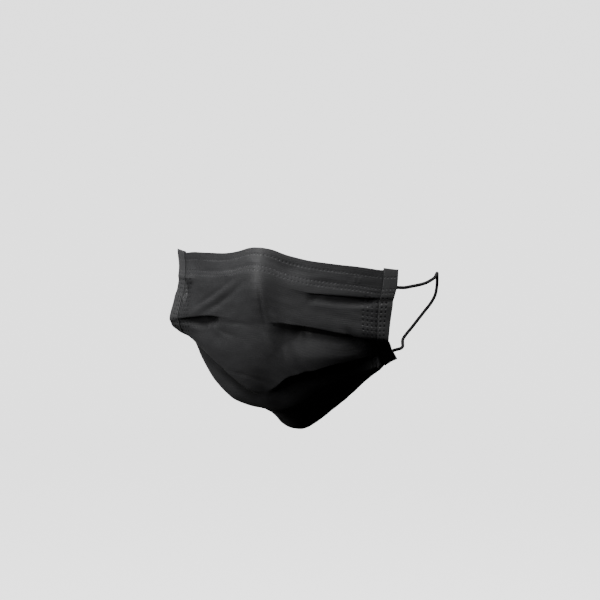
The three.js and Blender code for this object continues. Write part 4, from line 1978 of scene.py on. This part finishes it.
@dataclass
class Studio:
    """The camera, a pale floor that curves up all round, and the lights."""

    azimuth: float = 24.5
    elevation: float = 10.5
    distance: float = 1.25
    lens: float = 121.95
    off_centre: Pair = (0.02337, -0.03413)  # the aim, right of and above the nose bridge
    floor_level: float = -0.95
    floor_radius: float = 6.0
    floor_steps: tuple[int, int] = (48, 96)  # rings, and points in each
    floor_curve: Pair = (0.55, 0.9)  # shares of the radius at which it leaves the level, and over which
    floor_rise: float = 10.0
    floor_roughness: float = 0.9
    floor_colour: Colour = (0.82, 0.82, 0.82)
    floor_glow: float = 2.6
    sky: Colour = (0.1, 0.1, 0.1)
    ground: Colour = (0.004, 0.004, 0.004)
    horizon: Pair = (-0.1, 0.8)  # the ground's light turns into the sky's between these heights
    lights: tuple[SoftBox, ...] = (
        SoftBox("key", -50, 48, 22),
        SoftBox("left_side", -72, 36, 9),
        SoftBox("front", -22, 27, 19),
        SoftBox("right_top", 75, 55, 6),
        SoftBox("left_bounce", -66, -8, 0.7),
        SoftBox("right_edge", 122, 45, 26),
        SoftBox("back", 190, 30, 22, distance=2.0, size=1.2),
    )

    def build(self) -> None:
        """Sets the studio up."""
        aim = self._camera()
        self._floor()
        self._world()
        for light in self.lights:
            light.build(aim)

    def _camera(self) -> Vector:
        """Adds the camera.

        Returns:
            What it looks at.
        """
        towards = direction(self.azimuth, self.elevation)
        right = Vector((math.cos(math.radians(self.azimuth)), math.sin(math.radians(self.azimuth)), 0))
        up = right.cross(towards)
        aim = Vector(FRAME_SHIFT * MM) + right * self.off_centre[0] + up * self.off_centre[1]
        lens = bpy.data.cameras.new("camera")
        lens.lens = self.lens
        camera = bpy.data.objects.new("camera", lens)
        turned = Matrix((right, up, -towards)).transposed().to_4x4()
        camera.matrix_world = Matrix.Translation(aim - towards * self.distance) @ turned
        bpy.context.scene.collection.objects.link(camera)
        bpy.context.scene.camera = camera
        return aim

    def _floor(self) -> None:
        """Adds the floor, level under the mask and curving up to a wall far off."""
        rings, sides = self.floor_steps
        shares = np.linspace(0, 1, rings + 1)[1:]
        radius = self.floor_radius * shares
        start, length = self.floor_curve
        height = self.floor_level + self.floor_rise * ease(shares - start, 0, length)
        angles = 2 * math.pi * np.arange(sides) / sides
        ring = np.stack([np.cos(angles), np.sin(angles)], axis=1)
        points = [(0.0, 0.0, self.floor_level)]
        for r, z in zip(radius, height):
            points += [(r * c, r * s, z) for c, s in ring]
        faces: list[tuple[int, ...]] = [(0, 1 + k, 1 + (k + 1) % sides) for k in range(sides)]
        faces += [face[::-1] for face in MeshMaker.bands(rings, sides, 1)]
        mesh = bpy.data.meshes.new("floor")
        mesh.from_pydata(points, [], faces)
        mesh.shade_smooth()
        floor = bpy.data.objects.new("floor", mesh)
        bpy.context.scene.collection.objects.link(floor)
        graph = Graph.material("pale_floor")
        graph.dress(
            mesh,
            {
                "Base Color": self.floor_colour,
                "Roughness": self.floor_roughness,
                "Emission Color": self.floor_colour,
                "Emission Strength": self.floor_glow,
            },
        )
        floor.visible_diffuse = False
        floor.visible_glossy = False
        floor.visible_shadow = False

    def _world(self) -> None:
        """Soft light from above, fading to almost none from below."""
        world = bpy.data.worlds.new("studio")
        bpy.context.scene.world = world
        graph = Graph(world)
        _, _, height = graph.axes(graph.node("ShaderNodeTexCoord"))
        start, end = self.horizon
        share = graph.node("ShaderNodeMapRange", {}, {"Value": height, "From Min": start, "From Max": end})
        light = graph.node("ShaderNodeBackground", {}, {"Color": share.mix(self.ground, self.sky)})
        graph.add("ShaderNodeOutputWorld", {}, {"Surface": light})


# ---------------------------------------------------------------------------------------------
# The whole mask


@dataclass
class Mask:
    """All the pieces, and the finishes they wear."""

    body: MaskBody = field(default_factory=MaskBody)
    tapes: dict[Side, SideTape] = field(
        default_factory=lambda: {
            Side.LEFT: SideTape(Side.LEFT),
            Side.RIGHT: SideTape(Side.RIGHT, proud_inner=0.9, proud_outer=1.8),
        }
    )
    loops: dict[Side, EarLoop] = field(default_factory=lambda: {side: EarLoop(side) for side in Side})
    body_finish: Nonwoven = Nonwoven("black_nonwoven", (0.021, 0.021, 0.022), (0.012, 0.012, 0.013))
    # the tapes are coloured lighter than the body: partly their own colour, partly painted light on them
    tape_finish: Nonwoven = Nonwoven(
        "black_tape", (0.038, 0.038, 0.039), (0.014, 0.014, 0.015), rib_height=0.02
    )
    cord_finish: KnitCord = KnitCord()
    strip_finish: CoatedStrip = CoatedStrip()
    flat: Pair = (0.175, 0.178)  # the pleated cloth, cut with its hems
    tape_flat: Pair = (0.020, 0.098)

    def build(self) -> None:
        """Makes every piece, the cords first."""
        for side, loop in self.loops.items():
            cord = loop.build(self.body, self.tapes[side])
            self.cord_finish.apply(cord, loop)
            self._settle(cord, "elastic_cord", f"ear_loop_{side.word}")
        for side, tape in self.tapes.items():
            piece = tape.build(self.body)
            self.tape_finish.apply(piece)
            self._settle(piece, "side_tape", f"side_binding_{side.word}")
        strip = self.body.strip.build(self.body)
        self.strip_finish.apply(strip)
        self._settle(strip, "nose_strip", self.body.strip.node)
        cloth = self.body.build()
        self.body_finish.apply(cloth)
        self._settle(cloth, "body_nonwoven", *self.body.nodes)

    @staticmethod
    def _settle(piece: bpy.types.Object, slot: str, *nodes: str) -> None:
        """Fixes a piece to the model in place of its plain nodes.

        Args:
            piece: the piece.
            slot: not used.
            nodes: the nodes that it stands in for.
        """
        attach(piece, ROOT)
        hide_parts(*nodes)
        log.info("%s: %d faces", piece.name, len(piece.data.polygons))


def main() -> None:
    """Builds the scene."""
    logging.basicConfig(level=logging.INFO, format="%(name)s: %(message)s")
    Studio().build()
    Mask().build()


if __name__ == "__main__":
    main()
